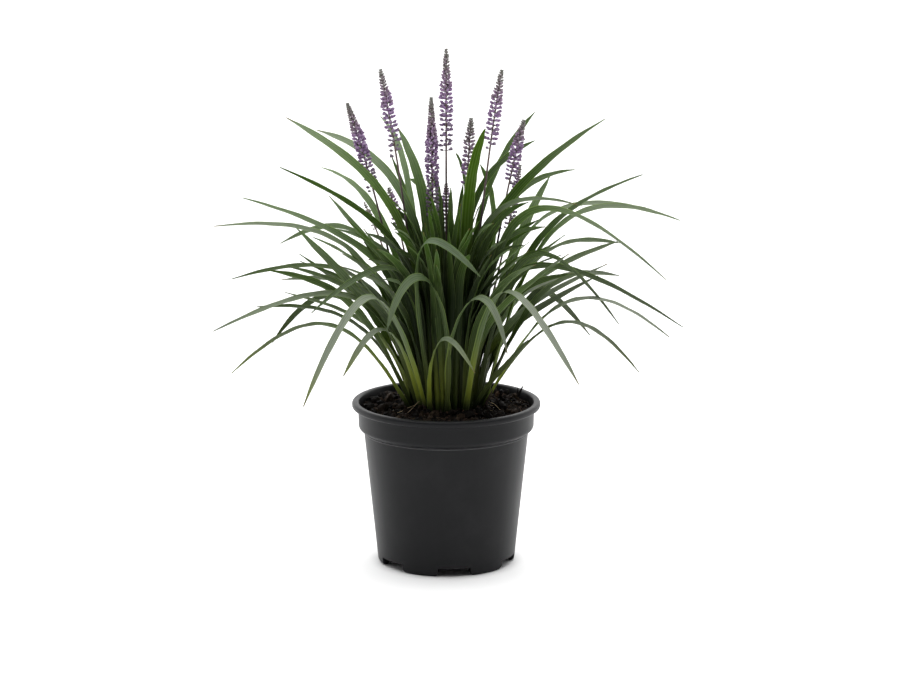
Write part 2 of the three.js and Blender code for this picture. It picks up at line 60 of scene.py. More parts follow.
class Shade:
    """A socket in a material's node tree, so that shader maths is written as an expression."""

    def __init__(self, tree, socket=None):
        self.tree = tree
        self.socket = socket

    def node(self, kind, settings, sockets, output=0):
        """Adds a node: its settings first, then the value or the link of each named socket."""
        made = self.tree.nodes.new(kind)
        for name, value in settings.items():
            if name == "stops":
                self._set_stops(made.color_ramp, value)
            else:
                setattr(made, name, value)
        for name, value in sockets.items():
            if isinstance(value, Shade):
                self.tree.links.new(value.socket, made.inputs[name])
            elif isinstance(value, tuple) and made.inputs[name].type == "RGBA":
                made.inputs[name].default_value = (*value[:3], 1)
            else:
                made.inputs[name].default_value = value
        return Shade(self.tree, made.outputs[output])

    def _set_stops(self, ramp, stops):
        while len(ramp.elements) < len(stops):
            ramp.elements.new(0.5)
        for element, (position, colour) in zip(ramp.elements, stops):
            element.position = position
            element.color = (*colour, 1)

    def _math(self, operation, first, second=0.0):
        return self.node("ShaderNodeMath", {"operation": operation}, {0: first, 1: second})

    def __add__(self, other):
        return self._math("ADD", self, other)

    __radd__ = __add__

    def __sub__(self, other):
        return self._math("SUBTRACT", self, other)

    def __rsub__(self, other):
        return self._math("SUBTRACT", other, self)

    def __mul__(self, other):
        return self._math("MULTIPLY", self, other)

    __rmul__ = __mul__

    def sine(self):
        return self._math("SINE", self)

    def size(self):
        return self._math("ABSOLUTE", self)

    def step(self, low, high):
        """0 below low, 1 above high, and a smooth rise between them."""
        limits = {"Value": self, "From Min": low, "From Max": high}
        return self.node("ShaderNodeMapRange", {"interpolation_type": "SMOOTHSTEP"}, limits)

    def ramp(self, stops):
        """The colour at this value on a ramp of (position, colour) stops."""
        return self.node("ShaderNodeValToRGB", {"stops": stops}, {0: self})

    def mix(self, one, other):
        """Colours: one where this value is 0, and the other where it is 1."""
        return self.node("ShaderNodeMix", {"data_type": "RGBA"}, {0: self, 6: one, 7: other}, 2)

    def part(self, number):
        """One coordinate of a vector: 0 to the right, 1 to the back, 2 up."""
        return self.node("ShaderNodeSeparateXYZ", {}, {0: self}, number)

    def length(self):
        """The length of a vector."""
        return self.node("ShaderNodeVectorMath", {"operation": "LENGTH"}, {0: self}, 1)

    def place(self, scale=(1, 1, 1)):
        """Object coordinates in metres, stretched along each axis."""
        at = self.node("ShaderNodeTexCoord", {}, {}, 3)
        return self.node("ShaderNodeMapping", {}, {"Vector": at, "Scale": scale})

    def noise(self, at, scale, detail=3.0, roughness=0.55):
        """Cloudy noise between 0 and 1, with so many clouds to the unit."""
        sockets = {"Vector": at, "Scale": scale, "Detail": detail, "Roughness": roughness}
        return self.node("ShaderNodeTexNoise", {}, sockets)

    def attribute(self, name):
        """A value that the mesh carries at each of its points."""
        return self.node("ShaderNodeAttribute", {"attribute_name": name}, {}, 2)

    def bump(self, height, distance):
        """A normal from a height between 0 and 1 that stands so many metres high."""
        return self.node("ShaderNodeBump", {}, {"Height": height, "Distance": distance})

    def surface(self, colour, roughness, normal, more=None):
        """A principled surface; more holds the plain values of its other sockets."""
        sockets = {"Base Color": colour, "Roughness": roughness, "Normal": normal, **(more or {})}
        return self.node("ShaderNodeBsdfPrincipled", {}, sockets)

    def finish(self, surface, kind="ShaderNodeOutputMaterial"):
        """Links the surface to the tree's output."""
        output = self.tree.nodes.new(kind)
        self.tree.links.new(surface.socket, output.inputs["Surface"])


def new_material(name):
    """An empty material, and the Shade that adds nodes to it."""
    material = bpy.data.materials.new(name)
    material.use_nodes = True
    material.node_tree.nodes.clear()
    return material, Shade(material.node_tree)


def placed(name, data):
    """A new object of the scene that holds the data."""
    made = bpy.data.objects.new(name, data)
    bpy.context.scene.collection.objects.link(made)
    return made


def closed_tubes(rings):
    """Faces over a grid of tubes x rings x points round x values. Four neighbours on the grid make
    a face, the last point of a ring joins its first, and a point at the mean of each end ring
    closes the tube. Rings that run right-handed about the tube's direction face outward."""
    tubes, rows, columns, values = rings.shape
    each = rows * columns + 2
    ends = rings[:, [0, -1]].mean(axis=2)
    points = np.concatenate([rings.reshape(tubes, rows * columns, values), ends], axis=1)
    here = np.arange(columns)
    after = (here + 1) % columns
    row = np.arange(rows - 1)[:, None] * columns
    quads = np.stack([row + here, row + after, row + columns + after, row + columns + here], -1)
    last = (rows - 1) * columns
    low = np.stack([after, here, np.full(columns, each - 2)], 1)
    high = np.stack([last + here, last + after, np.full(columns, each - 1)], 1)
    start = np.arange(tubes)[:, None, None] * each
    quads = (quads.reshape(-1, 4) + start).reshape(-1, 4)
    triangles = (np.concatenate([low, high]) + start).reshape(-1, 3)
    return points.reshape(tubes * each, values), quads, triangles


def add_piece(name, grids, material, attributes=(), sharp=180):
    """A piece of closed tubes, one grid after another. The first three values of a point are its
    place, each further one is a named attribute, and edges over the sharp angle stay hard."""
    points, quads, triangles = [], [], []
    count = 0
    for grid in grids:
        more, squares, threes = closed_tubes(grid)
        points.append(more)
        quads.append(squares + count)
        triangles.append(threes + count)
        count += len(more)
    points = np.concatenate(points).astype(np.float32)
    quads = np.concatenate(quads)
    triangles = np.concatenate(triangles)
    corners = np.concatenate([quads.ravel(), triangles.ravel()]).astype(np.int32)
    starts = np.concatenate([np.arange(len(quads)) * 4, quads.size + np.arange(len(triangles)) * 3])
    mesh = bpy.data.meshes.new(name)
    mesh.vertices.add(count)
    mesh.vertices.foreach_set("co", points[:, :3].ravel())
    mesh.loops.add(len(corners))
    mesh.loops.foreach_set("vertex_index", corners)
    mesh.polygons.add(len(starts))
    mesh.polygons.foreach_set("loop_start", starts.astype(np.int32))
    mesh.polygons.foreach_set("use_smooth", np.ones(len(starts), bool))
    mesh.update(calc_edges=True)
    for column, attribute in enumerate(attributes):
        layer = mesh.attributes.new(attribute, "FLOAT", "POINT")
        layer.data.foreach_set("value", points[:, 3 + column].copy())
    if sharp < 180:
        mesh.set_sharp_from_angle(angle=np.radians(sharp))
    mesh.materials.append(material)
    piece = placed(name, mesh)
    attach(piece, "root")
    return piece

# --- Pot ----------------------------------------------------------------------------------------
# A nursery pot, moulded in one shot of black polypropylene about two millimetres thick: a rolled
# lip to lift it by, a straight band, a shoulder and a tapered wall. Notches in the foot and holes
# in the floor let the water out.

POT_HEIGHT = 165 * MM
LIP_RADIUS = 95 * MM
LIP_DEPTH = 6.5 * MM
LIP_ROUND = 2.6 * MM
LIP_FILLET = 0.8 * MM
MOUTH_RADIUS = 88 * MM
MOUTH_ROUND = 2 * MM
BAND_RADIUS = 88.4 * MM
BAND_BOTTOM = POT_HEIGHT - 24 * MM
BAND_ROUND = 5 * MM
BAND_DRAFT = 0.4 * MM
SHOULDER_RADIUS = 83 * MM
SHOULDER_BOTTOM = POT_HEIGHT - 30.5 * MM
BEAD_RADIUS = 0.7 * MM
BEAD_ABOVE = 0.4 * MM
BASE_RADIUS = 69.5 * MM
BASE_DRAFT = 0.5 * MM
BASE_ROUND = 3.5 * MM
WALL = 2 * MM
FOOT_INNER = 63.5 * MM
FOOT_DRAFT = 1 * MM
FLOOR_UNDERSIDE = 10 * MM
FLOOR_TOP = 12.5 * MM
FLOOR_RADIUS = BASE_RADIUS - WALL + 1 * MM
NOTCHES = 6
NOTCH_FIRST = 217
NOTCH_AZIMUTHS = np.radians(NOTCH_FIRST) + np.arange(NOTCHES)[:, None] * 2 * np.pi / NOTCHES
NOTCH_WIDTH = 33 * MM
NOTCH_HEIGHT = 8.5 * MM
NOTCH_CORNER = 5 * MM
DRAIN_RADIUS = 5.5 * MM
DRAIN_CIRCLE = 46 * MM
DRAIN_SIDES = 32
CENTRE_HOLE = 12 * MM
POT_COLUMNS = 240
COLUMN_GAP = np.radians(0.25)
POT_SHARP = 38
BLACK = (0.0065, 0.0068, 0.0078)
DUST = (0.03, 0.03, 0.032)
BEAD_HIGHLIGHT = (0.09, 0.09, 0.094)


def arc(centre, radius, start, end, steps):
    """A round bend: its centre plus the radius times (cos, sin) of the angles from start to end."""
    angle = np.radians(np.linspace(start, end, steps))
    return np.stack(polar(radius, angle), 1) + centre


def straight(start, end, steps):
    """Evenly spaced points from start towards end, which is left out."""
    return np.linspace(start, end, steps, endpoint=False)


def notch_height(azimuth):
    """How far the foot is cut away: the notch's full height over its width, then the rounded
    corner of the next pad, corner - sqrt(corner^2 - u^2), and nothing along the pad."""
    pitch = 2 * np.pi / NOTCHES
    turn = (azimuth - np.radians(NOTCH_FIRST) + pitch / 2) % pitch - pitch / 2
    beside = BASE_RADIUS * np.sin(np.abs(turn)) - NOTCH_WIDTH / 2
    into = np.clip(NOTCH_CORNER - beside, 0, NOTCH_CORNER)
    corner = NOTCH_CORNER - np.sqrt(NOTCH_CORNER**2 - into**2)
    return np.where(beside < 0, NOTCH_HEIGHT, corner)


def pot_azimuths():
    """Columns round the pot: even ones, and closer ones at each side of each notch."""
    even = full_turn(POT_COLUMNS)
    beside = np.array([-0.05, 0.02, 0.25, 0.7, 1.4, 2.3, 3.4, 4.6, 5.2]) * MM
    half = np.arcsin((NOTCH_WIDTH / 2 + beside) / BASE_RADIUS)
    sides = np.concatenate([NOTCH_AZIMUTHS - half, NOTCH_AZIMUTHS + half])
    edges = sides.ravel() % (2 * np.pi)
    gap = np.abs((even[:, None] - edges + np.pi) % (2 * np.pi) - np.pi).min(axis=1)
    return np.sort(np.concatenate([even[gap > COLUMN_GAP], edges]))


def pot_rings():
    """The pot's profile turned about Z. Where a notch is cut, every point of the foot that lies
    lower than the notch is lifted to it."""
    lip_edge = LIP_RADIUS - LIP_ROUND
    lip_low = POT_HEIGHT - LIP_DEPTH
    band_top = BAND_RADIUS + BAND_DRAFT
    bead = (SHOULDER_RADIUS, SHOULDER_BOTTOM + BEAD_ABOVE - BEAD_RADIUS)
    foot_top = (FOOT_INNER - FOOT_DRAFT, FLOOR_UNDERSIDE)
    wall_low = (BASE_RADIUS + BASE_DRAFT, NOTCH_HEIGHT)
    wall_high = (SHOULDER_RADIUS, SHOULDER_BOTTOM - BEAD_RADIUS)
    inside = [
        (BAND_RADIUS - WALL, lip_low - MOUTH_ROUND),
        (BAND_RADIUS - WALL, BAND_BOTTOM),
        (SHOULDER_RADIUS - WALL, SHOULDER_BOTTOM),
        (FLOOR_RADIUS, FLOOR_TOP),
        (CENTRE_HOLE, FLOOR_TOP),
    ]
    profile = np.concatenate([
        straight((CENTRE_HOLE, FLOOR_UNDERSIDE), foot_top, 6),
        straight(foot_top, (FOOT_INNER, 0), 6),
        [(FOOT_INNER, 0)],
        arc((BASE_RADIUS - BASE_ROUND, BASE_ROUND), BASE_ROUND, -90, 0, 8),
        straight((BASE_RADIUS + BASE_DRAFT / 2, 6 * MM), wall_low, 2),
        straight(wall_low, wall_high, 14),
        arc(bead, BEAD_RADIUS, -90, 75, 7),
        arc((BAND_RADIUS - BAND_ROUND, BAND_BOTTOM), BAND_ROUND, -50, 0, 8),
        straight((BAND_RADIUS, BAND_BOTTOM + 1 * MM), (band_top, lip_low - 1 * MM), 4),
        arc((band_top + LIP_FILLET, lip_low - LIP_FILLET), LIP_FILLET, 180, 90, 4),
        arc((lip_edge, lip_low + LIP_ROUND), LIP_ROUND, -80, 0, 7),
        arc((lip_edge, POT_HEIGHT - LIP_ROUND), LIP_ROUND, 0, 90, 9),
        arc((MOUTH_RADIUS + MOUTH_ROUND, POT_HEIGHT - MOUTH_ROUND), MOUTH_ROUND, 90, 180, 7),
        *map(straight, inside, inside[1:], (3, 2, 6, 6)),
    ])
    azimuth = pot_azimuths()
    radius, height = profile[:, :1], profile[:, 1:]
    foot = (radius > FOOT_INNER - FOOT_DRAFT) & (height < NOTCH_HEIGHT)
    lifted = np.where(foot, np.maximum(height, notch_height(azimuth)), height)
    return np.stack([*polar(radius, azimuth), lifted], -1)[None]


def black_plastic():
    """Black polypropylene: near black, half matt, with long flow marks, dust and fine scuffs, and a
    painted highlight along the bead under the band.
    """
    material, shade = new_material("black_polypropylene")
    cloud = shade.noise(shade.place(), 18, 4)
    flow = shade.noise(shade.place((70, 70, 4)), 1, 2)
    grain = shade.noise(shade.place(), 1400, 2)
    scuff = shade.noise(shade.place((160, 160, 900)), 1, 5, 0.7).step(0.66, 0.74)
    height = shade.place().part(2)
    worn = scuff * (1 - height.step(4 * MM, 40 * MM))
    dusty = cloud.step(0.45, 0.8) * 0.2 + worn * 0.4
    # Painted highlight: a pale, uneven line along the bead under the band, where it catches the
    # light.
    from_bead = (height - SHOULDER_BOTTOM).size()
    bead_highlight = (1 - from_bead.step(0.4 * MM, 1.1 * MM)) * (0.5 + 0.5 * cloud)
    colour = bead_highlight.mix(dusty.mix(BLACK, DUST), BEAD_HIGHLIGHT)
    roughness = 0.34 + 0.1 * flow + 0.1 * cloud - 0.04 * grain
    bump = shade.bump(grain * 0.3 + flow, 0.12 * MM)
    shade.finish(shade.surface(colour, roughness, bump, {"Specular IOR Level": 0.165}))
    return material


def cut_drains(pot):
    """Cuts a ring of round holes through the pot's floor, and puts the result in its mesh."""
    centre = polar(DRAIN_CIRCLE, NOTCH_AZIMUTHS)
    edge = polar(DRAIN_RADIUS, full_turn(DRAIN_SIDES))
    x, y = centre[0] + edge[0], centre[1] + edge[1]
    low = np.stack([x, y, np.full_like(x, FLOOR_UNDERSIDE - 5 * MM)], -1)
    rods = np.stack([low, low + (0, 0, 12 * MM)], axis=1)
    cutter = add_piece("drain_cutter", [rods], pot.data.materials[0])
    modifier = pot.modifiers.new("drains", "BOOLEAN")
    modifier.operation = "DIFFERENCE"
    modifier.solver = "EXACT"
    modifier.object = cutter
    bpy.context.view_layer.update()
    whole = pot.evaluated_get(bpy.context.evaluated_depsgraph_get())
    mesh = bpy.data.meshes.new_from_object(whole)
    pot.modifiers.clear()
    pot.data = mesh
    mesh.set_sharp_from_angle(angle=np.radians(POT_SHARP))
    bpy.data.objects.remove(cutter)


pot = add_piece("nursery_pot", [pot_rings()], black_plastic(), sharp=POT_SHARP)
cut_drains(pot)
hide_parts("pot")

# --- Potting mix --------------------------------------------------------------------------------
# A loose mix of dark peat, composted bark and fibre, pressed in by hand to below the rim and
# drawn up a little round the clump. Its surface is all crumbs, with bark chips, twigs and roots.

# The mix stands this far clear of the pot's wall and floor, so that they share no face.
GAP = 0.3 * MM
MIX_RADIUS = BAND_RADIUS - WALL - GAP
MIX_AT_WALL = 156.5 * MM
MIX_MOUND = 3 * MM
MIX_MOUND_RADIUS = 48 * MM
MIX_RIPPLE = 0.9 * MM
MIX_COLUMNS = 220
MIX_ROWS = 60
BED_TONE = 0.3

# The short waves that roughen the bed: height and length of each set, in millimetres.
BED_WAVES = [(0.7, 9), (0.5, 4)]

# Half sizes: crumbs follow a gamma law between a least and a largest one, and chips and grit are
# spread evenly between two, in millimetres. A chip is long, narrower and thin.
CRUMB_COUNT = 2600
CRUMB_GAMMA = (2.6, 0.62)
CRUMB_LEAST = 0.5 * MM
CRUMB_LARGEST = 6 * MM
CRUMB_SHARP = 50
CHIP_COUNT = 190
CHIP_SIZES = (1.6, 5.2)
CHIP_SHAPE = np.array([1.0, 0.6, 0.22])
CHIP_SHARP = 35
FIBRE_COUNT = 90
FIBRE_LIFT = 1.2 * MM
FIBRE_BEND = 0.4
FIBRE_THINS = 0.6
FIBRE_SIDES = 5
GRIT_COUNT = 60
GRIT_SIZES = (0.3, 1.0)
LUMP_SPAN = (0.16, 0.84)

crumb_rng = np.random.default_rng(11)


def waves(x, y, length, rng, count=28):
    """Rough ground between about -1 and 1: a sum of sine waves of about one length that run in
    random directions, divided by the square root of half their count."""
    direction = rng.uniform(0, 2 * np.pi, count)
    number = 2 * np.pi / (length * rng.uniform(0.6, 1.6, count))
    phase = rng.uniform(0, 2 * np.pi, count)
    along = x[..., None] * np.cos(direction) + y[..., None] * np.sin(direction)
    return np.sin(along * number + phase).sum(-1) / np.sqrt(count / 2)


def mix_height(x, y):
    """The surface: a low mound, exp(-(r / mound)^4), and ripples that fade out over the last 12 mm
    at the wall and to 0.3 at the clump, sin(0.21 x + 1.3) cos(0.17 y - 0.4) +
    0.6 sin(0.33 x - 0.29 y), with x and y in millimetres."""
    radius = np.hypot(x, y)
    at_wall = np.minimum(1, (MIX_RADIUS - radius) / (12 * MM))
    at_clump = np.clip((radius - 30 * MM) / (15 * MM), 0.3, 1)
    mound = MIX_MOUND * np.exp(-((radius / MIX_MOUND_RADIUS) ** 4))
    across, deep = x / MM, y / MM
    ripple = np.sin(0.21 * across + 1.3) * np.cos(0.17 * deep - 0.4)
    ripple = ripple + 0.6 * np.sin(0.33 * across - 0.29 * deep)
    return MIX_AT_WALL + mound + MIX_RIPPLE * at_wall * at_clump * ripple


def mix_rings():
    """The block of mix: rings up the inside of the pot, then rings in to the middle at the
    surface's height, roughened by short waves."""
    side = np.array([
        (CENTRE_HOLE, FLOOR_TOP + GAP),
        (40 * MM, FLOOR_TOP + GAP),
        (FLOOR_RADIUS - GAP, FLOOR_TOP + GAP),
        (SHOULDER_RADIUS - WALL - GAP, SHOULDER_BOTTOM),
        (MIX_RADIUS, BAND_BOTTOM + GAP),
        (MIX_RADIUS, MIX_AT_WALL - 2 * MM),
    ])
    reach = np.linspace(MIX_RADIUS, 2 * MM, MIX_ROWS)
    radius = np.concatenate([side[:, 0], reach])[:, None]
    x, y = polar(radius, full_turn(MIX_COLUMNS))
    rough = sum(
        height * MM * waves(x, y, length * MM, crumb_rng) for height, length in BED_WAVES
    )
    top = mix_height(x, y) + rough * (radius < MIX_RADIUS - 0.5 * MM)
    top[: len(side)] = side[:, 1:]
    tone = np.full_like(x, BED_TONE)
    return np.stack([x, y, top, tone], -1)[None]


def lumps(centre, size, rng, rows=4, columns=7, rough=0.28):
    """Broken lumps: rings of a ball whose points are pushed in and out by a random share, then
    stretched to size, turned at random and set at their centres. The fourth value is a tone."""
    count = len(centre)
    rise = np.linspace(*LUMP_SPAN, rows) * np.pi
    turn = full_turn(columns)
    ring, low = np.sin(rise)[:, None], -np.cos(rise)[:, None]
    ball = np.stack([*polar(ring, turn), low + 0 * turn], -1)
    ball = ball * rng.uniform(1 - rough, 1 + rough, (count, rows, columns, 1))
    axes = np.linalg.qr(rng.normal(size=(count, 3, 3)))[0]
    axes = axes * np.linalg.det(axes)[:, None, None]
    turned = np.einsum("nij,nrcj->nrci", axes, ball * size[:, None, None, :])
    turned = turned + centre[:, None, None, :]
    return with_values(turned, rng.uniform(0, 1, (count, 1, 1)))


def scattered(count, rng, lift=0.0, inner=0.0, outer=MIX_RADIUS - 2 * MM):
    """Points on the mix or lifted off it, spread evenly over its area: the radius is the root of
    an even draw between the squares of the inner and outer radius."""
    radius = np.sqrt(rng.uniform(inner**2, outer**2, count))
    x, y = polar(radius, rng.uniform(0, 2 * np.pi, count))
    return np.stack([x, y, mix_height(x, y) + lift], -1)


def sweep(line, radius, columns, reference):
    """Round tubes along lines: each point plus radius times (side cos a + up sin a), with side at
    right angles to the line and to the reference direction."""
    along = unit(np.gradient(line, axis=1))
    side = unit(np.cross(reference, along))
    up = np.cross(along, side)
    turn = full_turn(columns)[:, None]
    ring = side[:, :, None] * np.cos(turn) + up[:, :, None] * np.sin(turn)
    return line[:, :, None] + ring * radius[..., None]


def with_values(rings, *values):
    """The rings with one more value at each point for each array given."""
    full = [np.broadcast_to(value, rings.shape[:3])[..., None] for value in values]
    return np.concatenate([rings, *full], -1)


def fibres(rows, rng):
    """Twigs and roots on the mix: a line from its start along a heading that bends a little to
    one side, climbs evenly to its far end and thins out towards it."""
    start_x, start_y, heading, length, rise, radius, tone = rows.T[..., None]
    share = np.linspace(0, 1, 9)
    bend = heading + rng.uniform(-FIBRE_BEND, FIBRE_BEND, heading.shape) * share
    step = length * MM * (share[1] - share[0])
    x = start_x * MM + np.cumsum(np.cos(bend) * step, 1) - np.cos(bend) * step
    y = start_y * MM + np.cumsum(np.sin(bend) * step, 1) - np.sin(bend) * step
    line = np.stack([x, y, mix_height(x, y) + rise * MM * share + FIBRE_LIFT], -1)
    thick = radius * MM * (1 - FIBRE_THINS * share)
    return with_values(sweep(line, thick[..., None], FIBRE_SIDES, UP), tone[..., None])


def peat_material(name, stops, rough):
    """Peat and bark: coloured by each crumb's own tone, mottled, with damp patches that are less
    rough and a bumpy skin."""
    material, shade = new_material(name)
    mottle = shade.noise(shade.place(), 420, 4)
    tone = shade.attribute("tone") * 0.75 + mottle * 0.35
    bump = shade.bump(shade.noise(shade.place(), 1500, 3), 0.4 * MM)
    roughness = rough - 0.3 * mottle.step(0.5, 0.62)
    shade.finish(shade.surface(tone.ramp(stops), roughness, bump, {"Specular IOR Level": 0.08}))
    return material


PEAT_STOPS = [
    (0.1, (0.0016, 0.0013, 0.0011)), (0.55, (0.0045, 0.0032, 0.0023)), (0.8, (0.014, 0.009, 0.006)),
    (1.0, (0.04, 0.026, 0.016)),
]
BARK_STOPS = [
    (0.1, (0.006, 0.004, 0.003)), (0.55, (0.016, 0.009, 0.0065)), (0.85, (0.042, 0.025, 0.017)),
    (1.0, (0.1, 0.06, 0.036)),
]
FIBRE_STOPS = [
    (0.2, (0.004, 0.003, 0.0025)), (0.3, (0.02, 0.013, 0.009)), (0.55, (0.055, 0.035, 0.022)),
    (0.8, (0.4, 0.31, 0.2)),
]
GRIT_STOPS = [(0.2, (0.22, 0.19, 0.15)), (0.8, (0.55, 0.53, 0.48))]

# The largest lumps, some of them against the leaves: centre and half size in millimetres.
CHUNKS = MM * np.array([
    (56, 54, 159, 5, 4, 4), (60, 50, 160, 6, 4, 4), (70, 34, 160, 5, 4, 4), (-12, -46, 160, 7, 5, 4),
    (6, -42, 161, 6, 4, 5), (14, -52, 159, 5, 5, 4), (-58, 26, 160, 7, 5, 4), (-66, 8, 159, 5, 5, 4),
])

peat = peat_material("peat", PEAT_STOPS, 0.9)
mix = add_piece("peat_bed", [mix_rings()], peat, ("tone",))
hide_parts("potting_mix")

crumb_size = crumb_rng.gamma(*CRUMB_GAMMA, (CRUMB_COUNT, 1)) * MM + CRUMB_LEAST
crumb_size = np.minimum(crumb_size, CRUMB_LARGEST) * crumb_rng.uniform(0.6, 1.2, (CRUMB_COUNT, 3))
crumb_place = scattered(CRUMB_COUNT, crumb_rng, 0.25 * crumb_size.mean(1))
crumb_place[: len(CHUNKS)] = CHUNKS[:, :3]
crumb_size[: len(CHUNKS)] = CHUNKS[:, 3:]
crumbs = lumps(crumb_place, crumb_size, crumb_rng)
add_piece("peat_crumbs", [crumbs], peat, ("tone",), CRUMB_SHARP)

chip_size = crumb_rng.uniform(*CHIP_SIZES, (CHIP_COUNT, 1)) * MM * CHIP_SHAPE
chip_place = scattered(CHIP_COUNT, crumb_rng, 1.2 * MM, 20 * MM, MIX_RADIUS - 5 * MM)
chips = lumps(chip_place, chip_size, crumb_rng, columns=8, rough=0.2)
bark = peat_material("bark", BARK_STOPS, 0.8)
add_piece("bark_chips", [chips], bark, ("tone",), CHIP_SHARP)

# Each twig that lies on top, leans on the leaves or stands in the mix: x and y of its start,
# heading in degrees, length, rise to its far end, radius and tone, with lengths in millimetres.
# The last two are dark splinters. The other twigs and roots are drawn between the limits.
TWIGS = [
    (-58, -34, 22, 34, 5, 0.5, 0.95),
    (-40, -32, -14, 15, 13, 0.5, 0.95),
    (59, -22, 150, 26, 9, 0.5, 0.95),
    (57, -19, 138, 20, 4, 0.35, 0.95),
    (60, -26, 172, 16, 2, 0.3, 0.95),
    (-30, 45, 170, 30, 4, 0.4, 0.95),
    (20, 58, 20, 26, 4, 0.35, 0.95),
    (70, 31, 28, 10, 13, 1.8, 0.0),
    (72, 33, 75, 6, 11, 1.5, 0.0),
]
FIBRE_LIMITS = {
    "heading": (0, 2 * np.pi), "length": (5, 17), "rise": (0, 1.6), "radius": (0.12, 0.4),
    "tone": (0, 0.7),
}
twigs = np.array(TWIGS, float)
twigs[:, 2] = np.radians(twigs[:, 2])
fibre_place = scattered(FIBRE_COUNT, crumb_rng, 0, 15 * MM, MIX_RADIUS - 14 * MM)[:, :2] / MM
fibre_draws = [crumb_rng.uniform(*limits, FIBRE_COUNT) for limits in FIBRE_LIMITS.values()]
fibre_rows = np.concatenate([twigs, np.column_stack([fibre_place, *fibre_draws])])
fibre_rings = fibres(fibre_rows, crumb_rng)
fibre_skin = peat_material("root_fibre", FIBRE_STOPS, 0.8)
add_piece("twigs_and_roots", [fibre_rings], fibre_skin, ("tone",))

grit_size = crumb_rng.uniform(*GRIT_SIZES, (GRIT_COUNT, 1)) * MM * np.ones(3)
grit_place = scattered(GRIT_COUNT, crumb_rng, 1.4 * MM, 25 * MM)
grit = lumps(grit_place, grit_size, crumb_rng, rows=3, columns=6, rough=0.2)
add_piece("grit", [grit], peat_material("pale_grit", GRIT_STOPS, 0.7), ("tone",))

# --- Leaves -------------------------------------------------------------------------------------
# Strap leaves, leathery and under half a millimetre thick, with a shallow channel and fine
# parallel veins. Each rises from a short crown in the mix, bows outward and tapers to a point.
# A fan is a twelfth of the clump, and its leaves stay between the two planes that bound it.

FANS = 12
FAN_ANGLE = 360 / FANS
HALF_FAN = np.radians(FAN_ANGLE / 2)
LEAVES_IN_SIDE_FAN = 9
LEAVES_IN_FRONT_FAN = 7
INNER_LEAVES = 5
HEART_LEAVES = 6

# How much further the short leaves of a fan at the side turn about their own line, in degrees.
FACING_TURN = 48

# The lanes between fans: wide where a flower stem stands in one, at these azimuths.
STEM_LANE = 2.3 * MM
BARE_LANE = 0.4 * MM
STEM_LANES = {30, 60, 90, 120, 150}

# The clump in plan, an ellipse, and the height at which the leaves leave the crown.
CLUMP_X = 42 * MM
CLUMP_Y = 35 * MM
CROWN_INNER = 18 * MM
CROWN_EDGE = 4 * MM
ROOT_HEIGHT = 160.5 * MM

# A blade along its line: how far its bow pulls it up, and its widths from base to tip. A drooping
# leaf narrows more towards its tip than an erect one, and a short leaf most.
BOW_PULL = 0.8
SHEATH_WIDTH = 5 * MM
BASE_WIDTH_LEAST = 5 * MM
BASE_WIDTH_MOST = 10 * MM
TIP_WIDTH = 1.1 * MM
WIDEST_AT = 0.45
DROOPING_NARROWS = 0.38
ERECT_NARROWS = 0.1
SHORT_NARROWS = 0.55
DROOPING = 250 * MM
ERECT = 440 * MM

# A blade across: the depth of its channel, and how far it is folded and narrower at its base. It
# turns a little unsteadily, its two edges ripple so many times, and its rows crowd at the tip.
THICKNESS = 0.42 * MM
KEEL_DEPTH = 1.3 * MM
TIP_DEPTH = 0.9 * MM
CHANNEL = 0.62
FOLDED_TO = 0.42
FOLD_DEPTH = 0.95
FOLD_NARROWS = 0.24
UNSTEADY_TURN = 0.22
EDGE_RIPPLES = (9, 8)
BLADE_ROWS = 46
LAST_ROW = 0.997
TIP_CROWDING = 1.08
BLADE_COLUMNS = 7
BLADE_SHARP = 55

